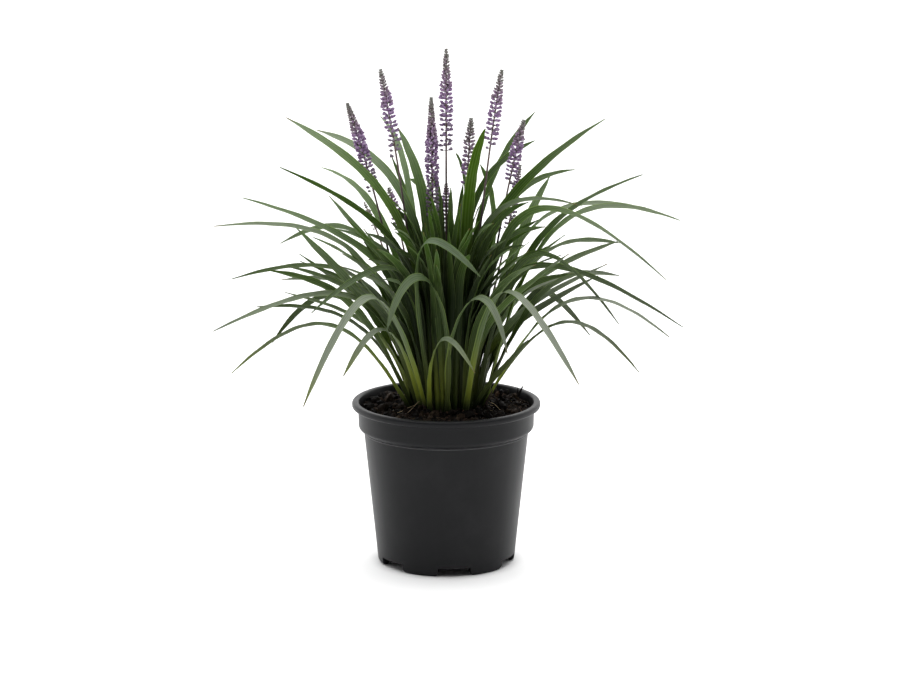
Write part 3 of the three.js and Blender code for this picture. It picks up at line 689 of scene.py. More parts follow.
# The leaves that shape the outline. Each row is: azimuth of the tip in degrees from +X towards
# the back, reach and height of the tip in millimetres, reach and height of the bow point that
# pulls the blade up, width, turn of the blade about its own line in degrees, and sideways lean.
LONG_LEAVES = [
    (26, 180, 440, 10, 360, 11, 20, 0),
    (13, 40, 440, 10, 370, 14, -70, 0),
    (12, 135, 360, 12, 395, 7, 40, 0),
    (14, 180, 320, 55, 285, 9, -55, 0),
    (25, 225, 345, 70, 385, 7, -55, 0),
    (18, 210, 385, 70, 345, 9, 20, 0),
    (5, 236, 345, 95, 400, 9, 20, 0),
    (35, 110, 420, 10, 390, 9, 10, 0),
    (55, 160, 440, 30, 375, 9, -10, 0),
    (50, 210, 375, 60, 385, 8, 30, 0),
    (34, 180, 210, 80, 325, 8, -50, 0),
    (48, 160, 375, 95, 305, 11, 10, 0),
    (38, 230, 300, 105, 335, 8, -60, 0),
    (33, 215, 270, 110, 300, 8, 40, 0),
    (85, 110, 400, 70, 375, 8, -60, -25),
    (75, 135, 385, 145, 325, 8, 50, -30),
    (80, 203, 255, 85, 335, 9, -10, 0),
    (111, 105, 375, 10, 375, 9, -60, 0),
    (114, 140, 395, 25, 290, 8, 20, 0),
    (96, 90, 385, 65, 335, 9, -40, 25),
    (117, 150, 435, 85, 415, 8, 15, 0),
    (101, 205, 275, 95, 340, 9, -15, 0),
    (134, 70, 435, 10, 360, 12, -10, 0),
    (142, 170, 425, 20, 405, 10, -20, 0),
    (145, 210, 265, 70, 295, 7, 60, 0),
    (132, 195, 380, 80, 370, 9, -10, 0),
    (147, 205, 305, 85, 375, 7, 60, 0),
    (133, 205, 305, 85, 290, 8, 0, 0),
    (164, 175, 395, 10, 335, 9, 60, 0),
    (162, 170, 445, 15, 370, 10, -30, 0),
    (156, 130, 365, 20, 260, 9, 70, 0),
    (161, 220, 360, 25, 320, 9, -30, 0),
    (176, 234, 340, 65, 360, 8, -20, 0),
    (160, 190, 210, 115, 315, 8, 50, 0),
    (188, 215, 295, 65, 335, 8, -20, 0),
    (199, 155, 350, 70, 265, 10, -60, 0),
    (202, 245, 255, 75, 325, 10, -30, 0),
    (186, 190, 265, 80, 270, 8, 40, 0),
    (199, 185, 310, 90, 290, 9, 50, 0),
    (195, 220, 205, 115, 295, 7, 50, 0),
    (224, 180, 280, 35, 360, 8, -30, 0),
    (222, 135, 210, 75, 290, 9, -20, 0),
    (236, 240, 205, 120, 365, 10, -20, 0),
    (303, 230, 225, 80, 360, 10, 12, 0),
    (324, 100, 240, 65, 205, 6, -50, 0),
    (348, 240, 250, 45, 370, 9, -50, 0),
    (344, 225, 300, 50, 445, 10, -50, 0),
    (341, 180, 255, 75, 390, 8, -60, 0),
    (351, 135, 300, 85, 285, 9, 40, 0),
    (351, 195, 200, 115, 295, 7, 20, 0),
    (342, 230, 245, 125, 325, 8, 20, -10),
]

# The four leaves that arch sideways over the front, by fan. Each has its four control points in
# millimetres, its width and its turn.
FRONT_ARCHES = {
    8: [
        ([(-12, -26, 160), (-50, -81, 364), (-22, -70, 370), (33, -112, 313)], 8.5, 50),
        ([(0, -34, 160), (13, -44, 320), (-40, -98, 343), (-57, -132, 263)], 9.5, -42),
    ],
    9: [
        ([(4, -34, 160), (-12, -32, 229), (34, -69, 355), (59, -122, 239)], 9.5, 38),
        ([(-16, -31, 160), (-19, -51, 207), (-13, -69, 287), (28, -116, 219)], 6.5, 42),
    ],
}


def seeded_draw(seed):
    """A seeded draw between 0 and 1: state = state * 48271 modulo 2^31 - 1, divided by that."""
    state = seed

    def draw():
        nonlocal state
        state = state * 48271 % 2147483647
        return state / 2147483647

    return draw


def heading(azimuth):
    """Unit vector in plan at an azimuth in degrees."""
    return np.array([*polar(1, np.radians(azimuth)), 0.0])


def kept_in_fan(point, azimuth, half_width):
    """The point moved sideways until it is half a width clear of the planes on either side."""
    out, beside = heading(azimuth), heading(azimuth + 90)
    along = max(point @ out, CROWN_INNER - 1 * MM)
    room = []
    for side in (-1, 1):
        border = round(azimuth + side * FAN_ANGLE / 2) % 360
        lane = STEM_LANE if border in STEM_LANES else BARE_LANE
        room.append(max(0.0, along * np.tan(HALF_FAN) - (lane + half_width) / np.cos(HALF_FAN)))
    across = np.clip(point @ beside, -room[0], room[1])
    return out * along + beside * across + UP * point[2]


def leaf_line(leaf, fan_azimuth, root):
    """Four control points: the root, the tip, and both of them pulled most of the way to the bow."""
    azimuth, reach, height, bow_reach, bow_height, width, _, lean = leaf
    out = heading(azimuth)
    foot = out * root + UP * ROOT_HEIGHT
    tip = (out * reach + UP * height) * MM
    bow = (out * bow_reach + heading(azimuth + 90) * lean + UP * bow_height) * MM
    rising = foot + (bow - foot) * BOW_PULL
    falling = tip + (bow - tip) * BOW_PULL
    half = width * MM / 2
    return np.stack([
        kept_in_fan(foot, fan_azimuth, SHEATH_WIDTH / 2),
        kept_in_fan(rising, fan_azimuth, half),
        kept_in_fan(falling, fan_azimuth, half),
        kept_in_fan(tip, fan_azimuth, half / 2),
    ])


def short_leaves(fan_azimuth, count, draw):
    """The plain leaves that fill a fan: the further one reaches the lower it ends, fans that face
    the front or the back reach less far, and in fans at the sides the leaves turn more."""
    facing = np.sin(np.radians(fan_azimuth)) ** 2
    leaves = []
    for _ in range(count):
        reach = (85 + 90 * draw()) * (1 - 0.5 * facing)
        height = 425 - 0.7 * reach - 55 * draw()
        azimuth = fan_azimuth + (draw() - 0.5) * 28
        bow_reach = reach * (0.2 + 0.2 * draw())
        bow_height = height * (0.78 + 0.2 * draw())
        width = 7 + 2.5 * draw()
        turn = (draw() - 0.5) * 60
        turn += np.copysign(FACING_TURN * (1 - facing), turn)
        lean = (draw() - 0.5) * 0.25 * reach
        leaves.append((azimuth, reach, height, bow_reach, bow_height, width, turn, lean))
    return leaves


def bezier(controls, share):
    """Points and unit tangents at the shares of cubic lines, controls being lines x 4 x 3."""
    s, r = share, 1 - share
    weights = np.stack([r**3, 3 * s * r**2, 3 * s**2 * r, s**3])
    slopes = np.stack([-(r**2), r**2 - 2 * s * r, 2 * s * r - s**2, s**2])
    along = unit(np.einsum("kr,nkc->nrc", slopes, controls))
    return np.einsum("kr,nkc->nrc", weights, controls), along


def taper(share, narrows):
    """Half width as a share of its full value: it opens as s(2 - s) up to the widest place, and
    from there narrows evenly to the tip, where it closes as 1 - s^9."""
    opening = np.minimum(1, share / WIDEST_AT)
    closing = np.maximum(0, (share - WIDEST_AT) / (1 - WIDEST_AT))
    return opening * (2 - opening) * (1 - narrows * closing) * (1 - closing**9)


def erectness(controls):
    """How erect a leaf is: 0 where its tip droops low, up to 1 where it stands high."""
    return np.clip((controls[:, 3, 2] - DROOPING) / (ERECT - DROOPING), 0, 1)


def blades(controls, width, turn, sheath, narrows, rng, sway=1.1 * MM, curl=0.3 * MM, sink=0.0):
    """Blades along cubic lines. At each share of a line the section runs from edge to edge and
    back: half width times v to the side, and upward -channel (1 - |v|^1.6), with the underside
    lower by the thickness times sqrt(1 - v^2). The section is level, then turned about the line.
    The line sways to the side, the edges curl up and down, and sink lowers the whole blade.
    Values: along, across, tone (from a drooping tip's to an erect one's) and upper (1 on the
    upper face)."""
    count = len(controls)
    width, turn, sheath, narrows = (
        np.broadcast_to(value, count)[:, None] for value in (width, turn, sheath, narrows)
    )
    share = 1 - (1 - np.linspace(0, LAST_ROW, BLADE_ROWS)) ** TIP_CROWDING
    line, along = bezier(controls, share)
    plan = controls[:, 3] - controls[:, 0]
    level = np.stack([-plan[:, 1], plan[:, 0], 0 * plan[:, 0]], -1)[:, None]
    level = unit(level - along * (level * along).sum(-1, keepdims=True))
    normal = np.cross(along, level)
    wave = rng.uniform(0, 2 * np.pi, (4, count, 1))
    pace = rng.uniform(0.7, 1.5, (count, 1))
    unsteady = UNSTEADY_TURN * share * np.sin(2 * np.pi * pace * share + wave[0])
    angle = np.radians(turn) * np.minimum(1, share / WIDEST_AT) + unsteady
    across = level * np.cos(angle)[..., None] + normal * np.sin(angle)[..., None]
    up = np.cross(along, across)
    freedom = share * (1 - share) * 4
    line = line + across * (sway * freedom * np.sin(2 * np.pi * pace * share + wave[1]))[..., None]
    full = taper(share, narrows)
    half = sheath / 2 * (1 - share) * (1 - full) + width / 2 * full
    half = np.maximum(half, TIP_WIDTH / 2)
    folded = np.clip(1 - share / FOLDED_TO, 0, 1)
    keel = KEEL_DEPTH + (TIP_DEPTH - KEEL_DEPTH) * share
    depth = np.minimum(keel * np.ones((count, 1)), half * 1.2) + FOLD_DEPTH * folded * half
    half = half * (1 - FOLD_NARROWS * folded)

    v = np.concatenate([np.linspace(1, -1, BLADE_COLUMNS), np.linspace(-1, 1, BLADE_COLUMNS)[1:-1]])
    under = np.concatenate([np.zeros(BLADE_COLUMNS), np.ones(BLADE_COLUMNS - 2)])
    channel = 1 - np.abs(v) ** 1.6
    thick = np.minimum(THICKNESS, half * 0.5)[..., None] * np.sqrt(np.maximum(0, 1 - v**2)) * under
    height = -CHANNEL * depth[..., None] * channel - thick - sink
    left, right = (
        np.sin(2 * np.pi * number * share + phase)[..., None]
        for number, phase in zip(EDGE_RIPPLES, wave[2:])
    )
    ripple = left * (v > 0) + right * (v < 0)
    height = height + curl * np.minimum(1, half / (3 * MM))[..., None] * ripple * np.abs(v) ** 3
    rings = line[:, :, None] + across[:, :, None] * (half[..., None] * v)[..., None]
    rings = rings + up[:, :, None] * height[..., None]
    tone = 0.65 * erectness(controls)[:, None, None] + 0.35 * rng.uniform(0, 1, (count, 1, 1))
    return with_values(rings, share[:, None], v, tone, 1 - under)


# The greens of the upper face, from a drooping leaf's to an erect one's.
GREENS = [
    (0.0, (0.051, 0.086, 0.022)), (0.3, (0.047, 0.09, 0.011)), (0.6, (0.049, 0.108, 0.004)),
    (0.85, (0.074, 0.146, 0.002)), (1.0, (0.096, 0.175, 0.001)),
]
UNDERSIDE = (0.16, 0.2, 0.125)


def leaf_material():
    """A living leaf: dark green above, paler and matt below, with veins, pale edges and dry tips.
    The pale edges are partly painted rim light. A grey bloom lies on the outer part of its
    upper face, most of all on drooping leaves, partly its own and partly painted sheen from the
    overhead light, and a painted highlight lies on the upper face of the front leaves. Leaves
    that reach far out are paler grey, partly at random and partly by painted haze that grows
    towards the right, and painted haze pales some high leaves at the back. It is yellowish
    towards the sheath, purple-brown where it leaves the mix, and darkened by painted shade inside
    the clump and at the bases of some leaves. Light comes through it. Each layer below is a
    share of a colour, laid over what is there."""
    material, shade = new_material("leaf")
    along, across = shade.attribute("along"), shade.attribute("across")
    tone, upper = shade.attribute("tone"), shade.attribute("upper")
    right, deep, height = (shade.place().part(number) for number in range(3))
    radius = shade.place((1 / CLUMP_X, 1 / CLUMP_Y, 0)).length()
    at = shade.node("ShaderNodeCombineXYZ", {}, {0: across * 3.2, 1: along * 5, 2: tone * 80})
    streak = shade.noise(at, 1.0, 3)
    blotch = shade.noise(shade.place(), 22, 2).step(0.55, 0.8)
    vein = (across * 31).sine() * 0.5 + 0.5
    rib = (across * 12.5 + 2 * streak).sine() * 0.5 + 0.5
    chance = (tone * 60).sine()
    front = (0 - deep).step(0.045, 0.09)
    low = 1 - height.step(0.2, 0.3)
    # Painted shade: the leaves are darkened inside the clump, and at the bases of some leaves low
    # down, where shade falls; the mask also cuts the light that comes through.
    core_shade = 1 - (radius - 4 * (height - ROOT_HEIGHT)).step(0.4, 1.3)
    core_shade = core_shade * (1 - height.step(0.27, 0.38))
    inside = core_shade + (1 - core_shade) * low * (1 - chance.step(-0.6, 0.2)) * 0.7
    # A grey bloom on the outer part of the upper face, most on drooping leaves and less in front:
    # partly the leaf's own bloom, partly painted sheen from the overhead light.
    bloom = upper * along.step(0.3, 0.75) * (0.4 + 0.6 * streak) * (1.1 - tone) * (1 - 0.45 * front)
    far_out = radius.step(1.8, 4)
    # Leaves that reach far out are paler grey: partly a random tone, partly painted haze that grows
    # towards the right.
    grey_tone_and_right_haze = 0.04 + 0.3 * streak + 0.3 * chance + 0.4 * right.step(-0.08, 0.14)
    # Painted haze: the glow of the bright backdrop on some high leaves at the back.
    back_haze = height.step(0.26, 0.36) * deep.step(0.0, 0.06)

    green = tone.ramp(GREENS)
    colour = upper.mix((0.6 - 0.9 * tone + 0.15 * streak).mix(green, UNDERSIDE), green)
    for share, tint in [
        (streak.step(0.4, 0.7) * 0.4, (0.08, 0.135, 0.018)),
        # Painted haze on some high leaves at the back.
        (chance.step(0.0, 0.5) * back_haze * 0.75, (0.27, 0.32, 0.24)),
        # The grey bloom, partly painted sheen.
        (bloom * (0.95 + 0.6 * chance), (0.27, 0.305, 0.235)),
        # Painted highlight: a pale sheen on the upper face of the front leaves, brightest at the tops
        # of the arches.
        (front * upper * (0.08 + 0.3 * streak + 0.5 * height.step(0.31, 0.335)), (0.3, 0.37, 0.28)),
        # Pale grey far out, partly painted haze towards the right.
        (far_out * grey_tone_and_right_haze, (0.26, 0.275, 0.24)),
        ((0 - chance).step(0.2, 0.95) * 0.42, (0.018, 0.042, 0.004)),
        (rib * 0.22 + blotch * 0.15, (0.19, 0.24, 0.11)),
        (0.28 - 0.24 * rib + 0.1 * vein, (0.014, 0.029, 0.002)),
        ((1 - height.step(0.185, 0.25)) * height.step(0.158, 0.18) * (0.62 + 0.38 * chance),
         (0.2, 0.24, 0.03)),
        # Pale edges, partly the margin's own colour and partly painted rim light from the bright
        # backdrop.
        (across.size().step(0.8, 1.0) * 0.65, (0.22, 0.3, 0.09)),
        ((1 - height.step(0.158, 0.176)) * 0.8, (0.016, 0.013, 0.006)),
        (along.step(0.965, 1.0) * chance.step(0.3, 0.8) * 0.7, (0.17, 0.12, 0.05)),
        # Painted shade inside the clump and on some leaf bases.
        (inside * 0.9, (0.002, 0.006, 0.001)),
    ]:
        colour = share.mix(colour, tint)

    roughness = 0.44 - 0.1 * upper + 0.12 * streak
    bump = shade.bump(vein + 0.6 * streak, 0.06 * MM)
    skin = shade.surface(colour, roughness, bump, {"Specular IOR Level": 0.1})
    brighter = {"Saturation": 1.08, "Value": 2.5, "Color": colour}
    lit = shade.node("ShaderNodeHueSaturation", {}, brighter)
    through = shade.node("ShaderNodeBsdfTranslucent", {}, {"Color": lit})
    clear = (0.1 + 0.42 * height.step(0.24, 0.36)) * (1 - 0.8 * inside)
    shade.finish(shade.node("ShaderNodeMixShader", {}, {0: clear, 1: skin, 2: through}))
    return material


LEAF_VALUES = ("along", "across", "tone", "upper")
leaf_skin = leaf_material()
leaf_rng = np.random.default_rng(23)
fan_lines = []


def fan_leaves(index):
    """The control points, widths, turns and narrowing of a fan's leaves: its long and plain
    leaves rooted in order of their bow, and then the inner ones between them."""
    azimuth = FAN_ANGLE * (index + 0.5)
    faces_front = abs(np.sin(np.radians(azimuth))) > 0.9
    count = LEAVES_IN_FRONT_FAN if faces_front else LEAVES_IN_SIDE_FAN
    long = [leaf for leaf in LONG_LEAVES if leaf[0] // FAN_ANGLE == index]
    arches = FRONT_ARCHES.get(index, [])
    count -= len(long) + len(arches)
    short = short_leaves(azimuth, count, seeded_draw(1000 + 37 * index))
    leaves = sorted(long + short, key=lambda leaf: leaf[3])
    out = heading(azimuth)
    last = 1 / np.hypot(out[0] / CLUMP_X, out[1] / CLUMP_Y) - CROWN_EDGE
    roots = np.linspace(CROWN_INNER + 1 * MM, last, len(leaves))
    more = short_leaves(azimuth, INNER_LEAVES, seeded_draw(7000 + 53 * index))
    between = np.interp([leaf[3] for leaf in more], [leaf[3] for leaf in leaves], roots)
    everything = leaves + more
    lines = [leaf_line(leaf, azimuth, root) for leaf, root in zip(everything, [*roots, *between])]
    lines += [np.array(points) * MM for points, _, _ in arches]
    width = np.array([leaf[5] for leaf in everything] + [arch[1] for arch in arches]) * MM
    turn = np.array([leaf[6] for leaf in everything] + [arch[2] for arch in arches], float)
    lines = np.array(lines)
    is_short = [leaf not in long for leaf in everything] + [False] * len(arches)
    narrows = DROOPING_NARROWS + (ERECT_NARROWS - DROOPING_NARROWS) * erectness(lines)
    return lines, width, turn, np.where(is_short, SHORT_NARROWS, narrows)


for index in range(FANS):
    lines, width, turn, narrows = fan_leaves(index)
    sheath = leaf_rng.uniform(BASE_WIDTH_LEAST, BASE_WIDTH_MOST, len(lines))
    rings = blades(lines, width, turn, sheath, narrows, leaf_rng)
    name = f"leaves_{index + 1:02d}"
    fan = add_piece(name, [rings], leaf_skin, LEAF_VALUES, BLADE_SHARP)
    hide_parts(f"leaf_fan_{index + 1:02d}")
    fan_lines.append(lines)


def heart_lines():
    """The erect young leaves on the axis: radii and heights of the part's own rule."""
    draw = seeded_draw(77)
    lines, widths, turns = [], [], []
    for i in range(HEART_LEAVES):
        out = heading(i * 360 / HEART_LEAVES + 25 * draw())
        height = 265 + 75 * draw()
        middle = 4 + 4 * draw()
        reach = np.array([3.5, 6, middle, 9])[:, None]
        rise = np.array([[0, 0, ROOT_HEIGHT / MM], [0, 0, 200], [0, 0, 270], [0, 0, height]])
        lines.append((out * reach + rise) * MM)
        widths.append((6 + draw()) * MM)
        turns.append(40 * draw())
    return np.array(lines), np.array(widths), np.array(turns)


lines, width, turn = heart_lines()
rings = blades(lines, width, turn, BASE_WIDTH_LEAST, SHORT_NARROWS, leaf_rng)
heart = add_piece("young_leaves", [rings], leaf_skin, LEAF_VALUES, BLADE_SHARP)
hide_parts("leaf_heart")

# --- Bud scales ---------------------------------------------------------------------------------
# Short papery scales that wrap the outside of every second leaf base: purple-brown where they
# come out of the mix, olive towards their tips. Each follows the first tenth or so of its leaf.

SCALE_EVERY = 2
SCALE_SHARE = 0.1
SCALE_SPREAD = (0.7, 1.5)
SCALE_WIDTH = 2.5 * MM
SCALE_BASE_WIDTH = 7.5 * MM
SCALE_FOOT = 3 * MM


def cut_line(controls, share):
    """The first part of cubic lines, by de Casteljau's halving at a share of their length."""
    a, b, c, d = (controls[:, i] for i in range(4))
    ab, bc, cd = a + (b - a) * share, b + (c - b) * share, c + (d - c) * share
    abc, bcd = ab + (bc - ab) * share, bc + (cd - bc) * share
    return np.stack([a, ab, abc, abc + (bcd - abc) * share], 1)


def scale_material():
    """A dry scale: purple-brown to olive with height, fine lengthwise lines, matt."""
    material, shade = new_material("bud_scale")
    along, across, tone = (shade.attribute(name) for name in ("along", "across", "tone"))
    line = (across * 24).sine() * 0.5 + 0.5
    grown = (along + 0.25 * tone).ramp([
        (0.1, (0.03, 0.013, 0.014)), (0.5, (0.055, 0.035, 0.02)), (0.9, (0.11, 0.1, 0.035)),
    ])
    colour = (line * 0.25).mix(grown, (0.12, 0.09, 0.05))
    shade.finish(shade.surface(colour, 0.65 + 0.1 * line, shade.bump(line, 0.1 * MM)))
    return material


scale_controls = np.concatenate([lines[::SCALE_EVERY] for lines in fan_lines])
scale_reach = leaf_rng.uniform(*SCALE_SPREAD, (len(scale_controls), 1)) * SCALE_SHARE
scale_controls = cut_line(scale_controls, scale_reach)
scale_controls[:, 0, 2] -= SCALE_FOOT
scale_rings = blades(
    scale_controls, SCALE_WIDTH, 0, SCALE_BASE_WIDTH, DROOPING_NARROWS, leaf_rng,
    sway=0.4 * MM, curl=0.4 * MM, sink=0.7 * MM,
)
add_piece("bud_scales", [scale_rings], scale_material(), LEAF_VALUES, BLADE_SHARP)

# --- Flower stems -------------------------------------------------------------------------------
# A stiff, dark scape carries whorls of florets on short stalks up its top part: purple, bell
# shaped and half open below, and tight grey-green buds towards the tip.

STEM_BOTTOM = 143 * MM
STEM_RADIUS = 1.4 * MM
STEM_TIP_RADIUS = 0.7 * MM
STEM_RIDGES = 0.08
STEM_SIDES = 12
STEM_ROWS = 60
STALK_RADIUS = 0.32 * MM
FLORET_RADIUS = 1.6 * MM
FLORET_REACH = 7 * MM
FLORETS_ROUND = 6
WHORL_CROWDING = 0.4
OPEN_FROM_AGE = 0.38
OPEN_SHARE = 0.25

# Each stem: azimuth of its lane in degrees, radius at the ground, reach and height of its tip,
# share of the way out and height of its bow point, length of the flowering part, largest radius
# and pitch of its whorls, how ripe it is, and the share of its florets left. Lengths are in
# millimetres.
FLOWER_STEMS = [
    (150, 33, 115, 458, 0.35, 325, 92, 8, 3.0, 1, 1),
    (150, 24, 76, 495, 0.3, 345, 88, 8, 3.6, 1, 1),
    (90, 23, 34, 516, 0.4, 345, 108, 8, 3.8, 1, 1),
    (120, 22, 30, 468, 0.5, 325, 122, 8, 3.0, 1.1, 1),
    (60, 22, 50, 445, 0.3, 305, 66, 8, 3.4, 0.6, 1),
    (30, 22, 64, 495, 0.3, 345, 80, 8, 3.6, 0.85, 1),
    (30, 32, 90, 443, 0.3, 305, 66, 7.5, 3.2, 0.9, 1),
    (120, 35, 172, 342, 0.5, 285, 40, 4, 3.6, 0.3, 0.7),
    (60, 31, 153, 384, 0.75, 295, 68, 6.5, 3.2, 1.1, 0.9),
    (90, 32, 62, 376, 0.4, 275, 50, 6.5, 3.4, 1.15, 1),
    (120, 29, 118, 365, 0.45, 285, 44, 6.5, 3.4, 1.1, 0.8),
]

# How far the florets reach, as a share of the largest radius, from the lowest whorl to the tip.
SPIKE_UP = [0, 0.12, 0.5, 0.68, 0.88, 1]
SPIKE_REACH = [0.9, 0.98, 0.98, 0.72, 0.5, 0.34]

# The share of the florets still on the stem, which drops the lowest and oldest ones first.
LOW_UP = [0, 0.1, 0.25]
LOW_LEFT = [0.4, 0.8, 1.0]


def stem_points(stem):
    """Even points up the stem's line, foot r^2 + 2 bow s r + tip s^2, and their distances."""
    azimuth, root, reach, height, out, bow_height = stem[:6]
    outward = heading(azimuth)
    foot = outward * root * MM + UP * STEM_BOTTOM
    tip = (outward * reach + UP * height) * MM
    bow = foot + (tip - foot) * out
    bow[2] = bow_height * MM
    s = np.linspace(0, 1, 400)[:, None]
    points = foot * (1 - s) ** 2 + 2 * bow * s * (1 - s) + tip * s**2
    distance = np.concatenate([[0], np.cumsum(np.linalg.norm(np.diff(points, axis=0), axis=1))])
    return points, distance


def at_distance(points, distance, wanted):
    """The points of a line at the wanted distances along it."""
    return np.stack([np.interp(wanted, distance, points[:, i]) for i in range(3)], -1)


def floret_places(stem, rng):
    """The foot, direction, size and age of each floret: whorls at p(1 + c - c p) of the way up,
    six places round each, every second whorl turned by half a place, all a little uneven."""
    points, distance = stem_points(stem)
    flowering, size, pitch = (length * MM for length in stem[6:9])
    ripe, left = stem[9:]
    whorls = round(flowering / pitch)
    up = np.repeat(np.arange(whorls) / whorls, FLORETS_ROUND)
    up = up + rng.uniform(-0.12, 0.12, len(up)) / whorls
    place = np.clip(up * (1 + WHORL_CROWDING - WHORL_CROWDING * up), 0, 0.995)
    at = distance[-1] - flowering * (1 - place)
    foot = at_distance(points, distance, at)
    below = at_distance(points, distance, at - 2 * MM)
    along = unit(foot - below)
    side = unit(np.cross((0, 1, 0), along))
    deep = np.cross(along, side)
    number = np.arange(len(up))
    turn = (number % FLORETS_ROUND + (number // FLORETS_ROUND % 2) / 2) / FLORETS_ROUND * 2 * np.pi
    turn = (turn + rng.uniform(-0.3, 0.3, len(up)))[:, None]
    lift = (0.15 + 0.75 * up**1.5 + rng.uniform(-0.08, 0.1, len(up)))[:, None]
    out = (side * np.cos(turn) + deep * np.sin(turn)) * np.cos(lift) + along * np.sin(lift)
    reach = size * np.interp(up, SPIKE_UP, SPIKE_REACH) * rng.uniform(0.88, 1.0, len(up))
    stays = rng.uniform(0, 1, len(up)) < np.interp(up, LOW_UP, LOW_LEFT) * left
    age = np.clip((1 - up) * ripe, 0, 1)
    return foot[stays], out[stays], reach[stays], age[stays]


# A floret in rings from its stalk's foot: how far out each ring is as a share of the reach, its
# radius as a share of the floret's own, and its part: 0 is the stalk, 1 the petals, 2 the inside.
BUD = np.array([
    (0.0, 0.16, 0), (0.42, 0.18, 0), (0.5, 0.72, 1), (0.66, 1.0, 1), (0.84, 0.86, 1), (0.97, 0.36, 1),
])
BELL = np.array([
    (0.0, 0.16, 0), (0.4, 0.18, 0), (0.47, 0.66, 1), (0.66, 0.92, 1), (0.88, 1.12, 1),
    (0.98, 1.24, 1), (0.74, 0.4, 2),
])
RIM_FROM = 1.1
STALK_CUT = 0.2
STALK_RISE = 0.1

# A floret's radius as it ages: it swells until it opens, and then withers a little.
SWELL_AGE = [0, 0.3, 0.5, 1]
SWELL = [0.72, 0.84, 1, 0.92]


def florets(foot, out, reach, age, profile, rng, columns, lobes=0.0):
    """Florets as tubes along their own direction: radius times the profile, and lobed round the
    rim as 1 + lobes cos(6 a). A young one's stalk is cut short: (s - cut) / (1 - cut). Values:
    age (0 at the tip of the stem), tone and part."""
    shares, radii, part = profile.T
    cut = STALK_CUT * (1 - age)[:, None]
    shares = np.maximum(0, shares - cut) / (1 - cut) + 0 * reach[:, None]
    line = foot[:, None] + out[:, None] * (reach[:, None] * shares)[..., None]
    line = line + UP * (STALK_RISE * reach[:, None] * shares**2)[..., None]
    full = FLORET_RADIUS * np.interp(age, SWELL_AGE, SWELL)
    full = full * rng.uniform(0.85, 1.12, len(age)) * (reach / FLORET_REACH) ** 0.4
    lobed = 1 + lobes * np.cos(6 * full_turn(columns)) * (radii[:, None] > RIM_FROM)
    radius = full[:, None, None] * radii[:, None] * lobed
    radius = np.where(part[:, None] > 0, radius, STALK_RADIUS)
    rings = sweep(line, radius, columns, UP)
    tone = rng.uniform(0, 1, (len(age), 1, 1))
    return with_values(rings, age[:, None, None], tone, part[:, None])


def scape_material():
    """The scape: olive at its foot and dark purple-brown above, satin, with fine long ridges."""
    material, shade = new_material("scape")
    rise, tone = shade.attribute("rise"), shade.attribute("tone")
    fleck = shade.noise(shade.place((900, 900, 120)), 1, 3)
    colour = (rise + 0.2 * fleck).ramp([
        (0.1, (0.06, 0.07, 0.022)), (0.4, (0.04, 0.028, 0.02)), (0.7, (0.035, 0.018, 0.02)),
        (0.85, (0.14, 0.085, 0.08)), (1.0, (0.2, 0.15, 0.13)),
    ])
    colour = (fleck.step(0.5, 0.8) * 0.35 + tone * 0.1).mix(colour, (0.11, 0.08, 0.06))
    shade.finish(shade.surface(colour, 0.5 + 0.15 * fleck, shade.bump(fleck, 0.1 * MM)))
    return material


def floret_material():
    """Florets: grey-green buds at the tip, lilac to violet bells below, yellow anthers inside, on
    purple-brown stalks. A faint bloom on the skin keeps them soft."""
    material, shade = new_material("floret")
    age, tone, part = (shade.attribute(name) for name in ("age", "tone", "part"))
    mottle = shade.noise(shade.place(), 700, 3)
    grown = (age + 0.22 * tone - 0.11 + 0.1 * mottle).ramp([
        (0.02, (0.17, 0.18, 0.15)), (0.24, (0.21, 0.185, 0.18)), (0.42, (0.26, 0.175, 0.255)),
        (0.6, (0.28, 0.165, 0.33)), (0.86, (0.22, 0.135, 0.26)), (1.0, (0.12, 0.1, 0.115)),
    ])
    colour = (tone.step(0.5, 1.0) * age.step(0.3, 0.6) * 0.35).mix(grown, (0.46, 0.34, 0.52))
    stalk, anther = (0.07, 0.045, 0.06), (0.5, 0.42, 0.12)
    colour = part.step(1.4, 1.9).mix(part.step(0.1, 0.7).mix(stalk, colour), anther)
    bump = shade.bump(mottle, 0.2 * MM)
    shade.finish(shade.surface(colour, 0.55 + 0.15 * mottle, bump, {"Sheen Weight": 0.15}))
    return material


scape_skin = scape_material()
floret_skin = floret_material()
floret_rng = np.random.default_rng(41)

for index, stem in enumerate(FLOWER_STEMS):
    number = f"{index + 1:02d}"
    points, distance = stem_points(stem)
    rows = np.linspace(0, distance[-1], STEM_ROWS)
    line = at_distance(points, distance, rows)
    rise = rows / distance[-1]
    radius = STEM_RADIUS + (STEM_TIP_RADIUS - STEM_RADIUS) * rise
    ridge = 1 + STEM_RIDGES * np.cos(np.arange(STEM_SIDES) * np.pi)
    scape_rings = sweep(line[None], (radius[:, None] * ridge)[None], STEM_SIDES, (0, 1, 0))
    scape_rings = with_values(scape_rings, rise[:, None], floret_rng.uniform())
    scape = add_piece(f"scape_{number}", [scape_rings], scape_skin, ("rise", "tone"))
    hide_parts(f"flower_stem_{number}")

    foot, out, reach, age = floret_places(stem, floret_rng)
    is_open = (age > OPEN_FROM_AGE) & (floret_rng.uniform(0, 1, len(age)) < OPEN_SHARE)
    buds = [value[~is_open] for value in (foot, out, reach, age)]
    bells = [value[is_open] for value in (foot, out, reach, age)]
    grids = [
        florets(*buds, BUD, floret_rng, columns=6),
        florets(*bells, BELL, floret_rng, columns=12, lobes=0.12),
    ]
    add_piece(f"florets_{number}", grids, floret_skin, ("age", "tone", "part"))

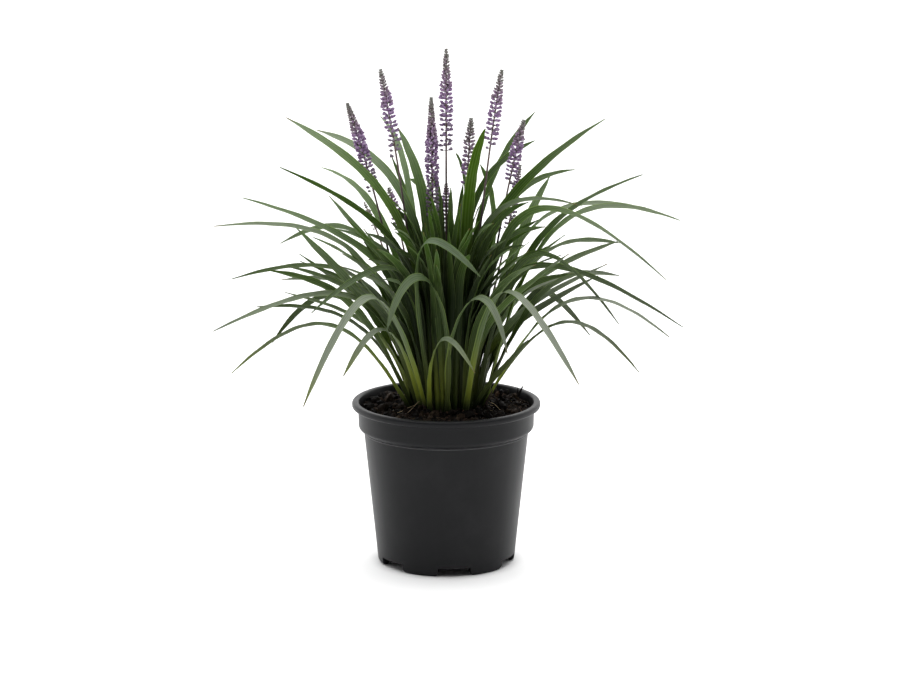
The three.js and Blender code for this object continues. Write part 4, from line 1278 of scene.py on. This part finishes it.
# --- Studio -------------------------------------------------------------------------------------
# A plain pale floor that glows faintly round the pot but not under it, painted light that lifts the
# pot's shadow, under an even white sky that is brighter above and behind than in front. One large
# soft lamp hangs overhead. The camera stands a little above the rim, well back, with a long lens.

CAMERA_PLACE = (0.0038, -2.92, 0.855)
CAMERA_TILT = 12.09
CAMERA_LENS = 119.04
CAMERA_SENSOR = 36
FLOOR_HALF = 20.0
FLOOR_WHITE = (0.77, 0.77, 0.77)
FLOOR_ROUGHNESS = 0.7
# Painted light: how strongly the floor glows, and where round the pot the glow starts and is full.
GLOW = 0.19
GLOW_FROM = 66 * MM
GLOW_FULL = 82 * MM
SKY_LEAST = 0.11
SKY_BACK = 1.6
SKY_BACK_RISE = (-0.4, 0.5)
SKY_ABOVE = 2.4
SKY_ABOVE_RISE = (0.62, 0.95)
LAMP_PLACE = (0.2, 0.5, 1.9)
LAMP_SIZE = (1.6, 1.2)
LAMP_TURN = (-14, 6, 0)
LAMP_WATTS = 6

floor_mesh = bpy.data.meshes.new("floor")
corners = [(x * FLOOR_HALF, y * FLOOR_HALF, 0) for x, y in ((-1, -1), (1, -1), (1, 1), (-1, 1))]
floor_mesh.from_pydata(corners, [], [(0, 1, 2, 3)])
floor = placed("floor", floor_mesh)
floor_material, shade = new_material("white_floor")
# Painted light: the floor glows round the pot but not under it, which lifts the pot's shadow.
away = shade.place((1, 1, 0)).length()
glow = away.step(GLOW_FROM, GLOW_FULL).mix((0, 0, 0), (1, 1, 1))
shade.finish(shade.node("ShaderNodeBsdfPrincipled", {}, {
    "Base Color": FLOOR_WHITE, "Roughness": FLOOR_ROUGHNESS,
    "Emission Color": glow, "Emission Strength": GLOW,
}))
floor_mesh.materials.append(floor_material)

world = bpy.data.worlds.new("studio")
bpy.context.scene.world = world
world.use_nodes = True
world.node_tree.nodes.clear()
sky = Shade(world.node_tree)
direction = sky.node("ShaderNodeTexCoord", {}, {}, 0)
back = direction.part(1).step(*SKY_BACK_RISE)
above = direction.part(2).step(*SKY_ABOVE_RISE)
light = SKY_LEAST + SKY_BACK * back + SKY_ABOVE * above
lit_sky = sky.node("ShaderNodeBackground", {}, {"Color": (1, 1, 1), "Strength": light})
seen_sky = sky.node("ShaderNodeBackground", {}, {"Color": (1, 1, 1), "Strength": 1.0})
is_camera = sky.node("ShaderNodeLightPath", {}, {}, 0)
both = sky.node("ShaderNodeMixShader", {}, {0: is_camera, 1: lit_sky, 2: seen_sky})
sky.finish(both, "ShaderNodeOutputWorld")

lamp_data = bpy.data.lights.new("overhead", "AREA")
lamp_data.shape = "RECTANGLE"
lamp_data.size, lamp_data.size_y = LAMP_SIZE
lamp_data.energy = LAMP_WATTS
lamp = placed("overhead", lamp_data)
lamp.location = LAMP_PLACE
lamp.rotation_euler = np.radians(LAMP_TURN)

camera_data = bpy.data.cameras.new("camera")
camera_data.sensor_width = CAMERA_SENSOR
camera_data.lens = CAMERA_LENS
camera = placed("camera", camera_data)
camera.location = CAMERA_PLACE
camera.rotation_euler = (np.radians(90 - CAMERA_TILT), 0, 0)
bpy.context.scene.camera = camera
bpy.context.scene.view_settings.view_transform = "Standard"
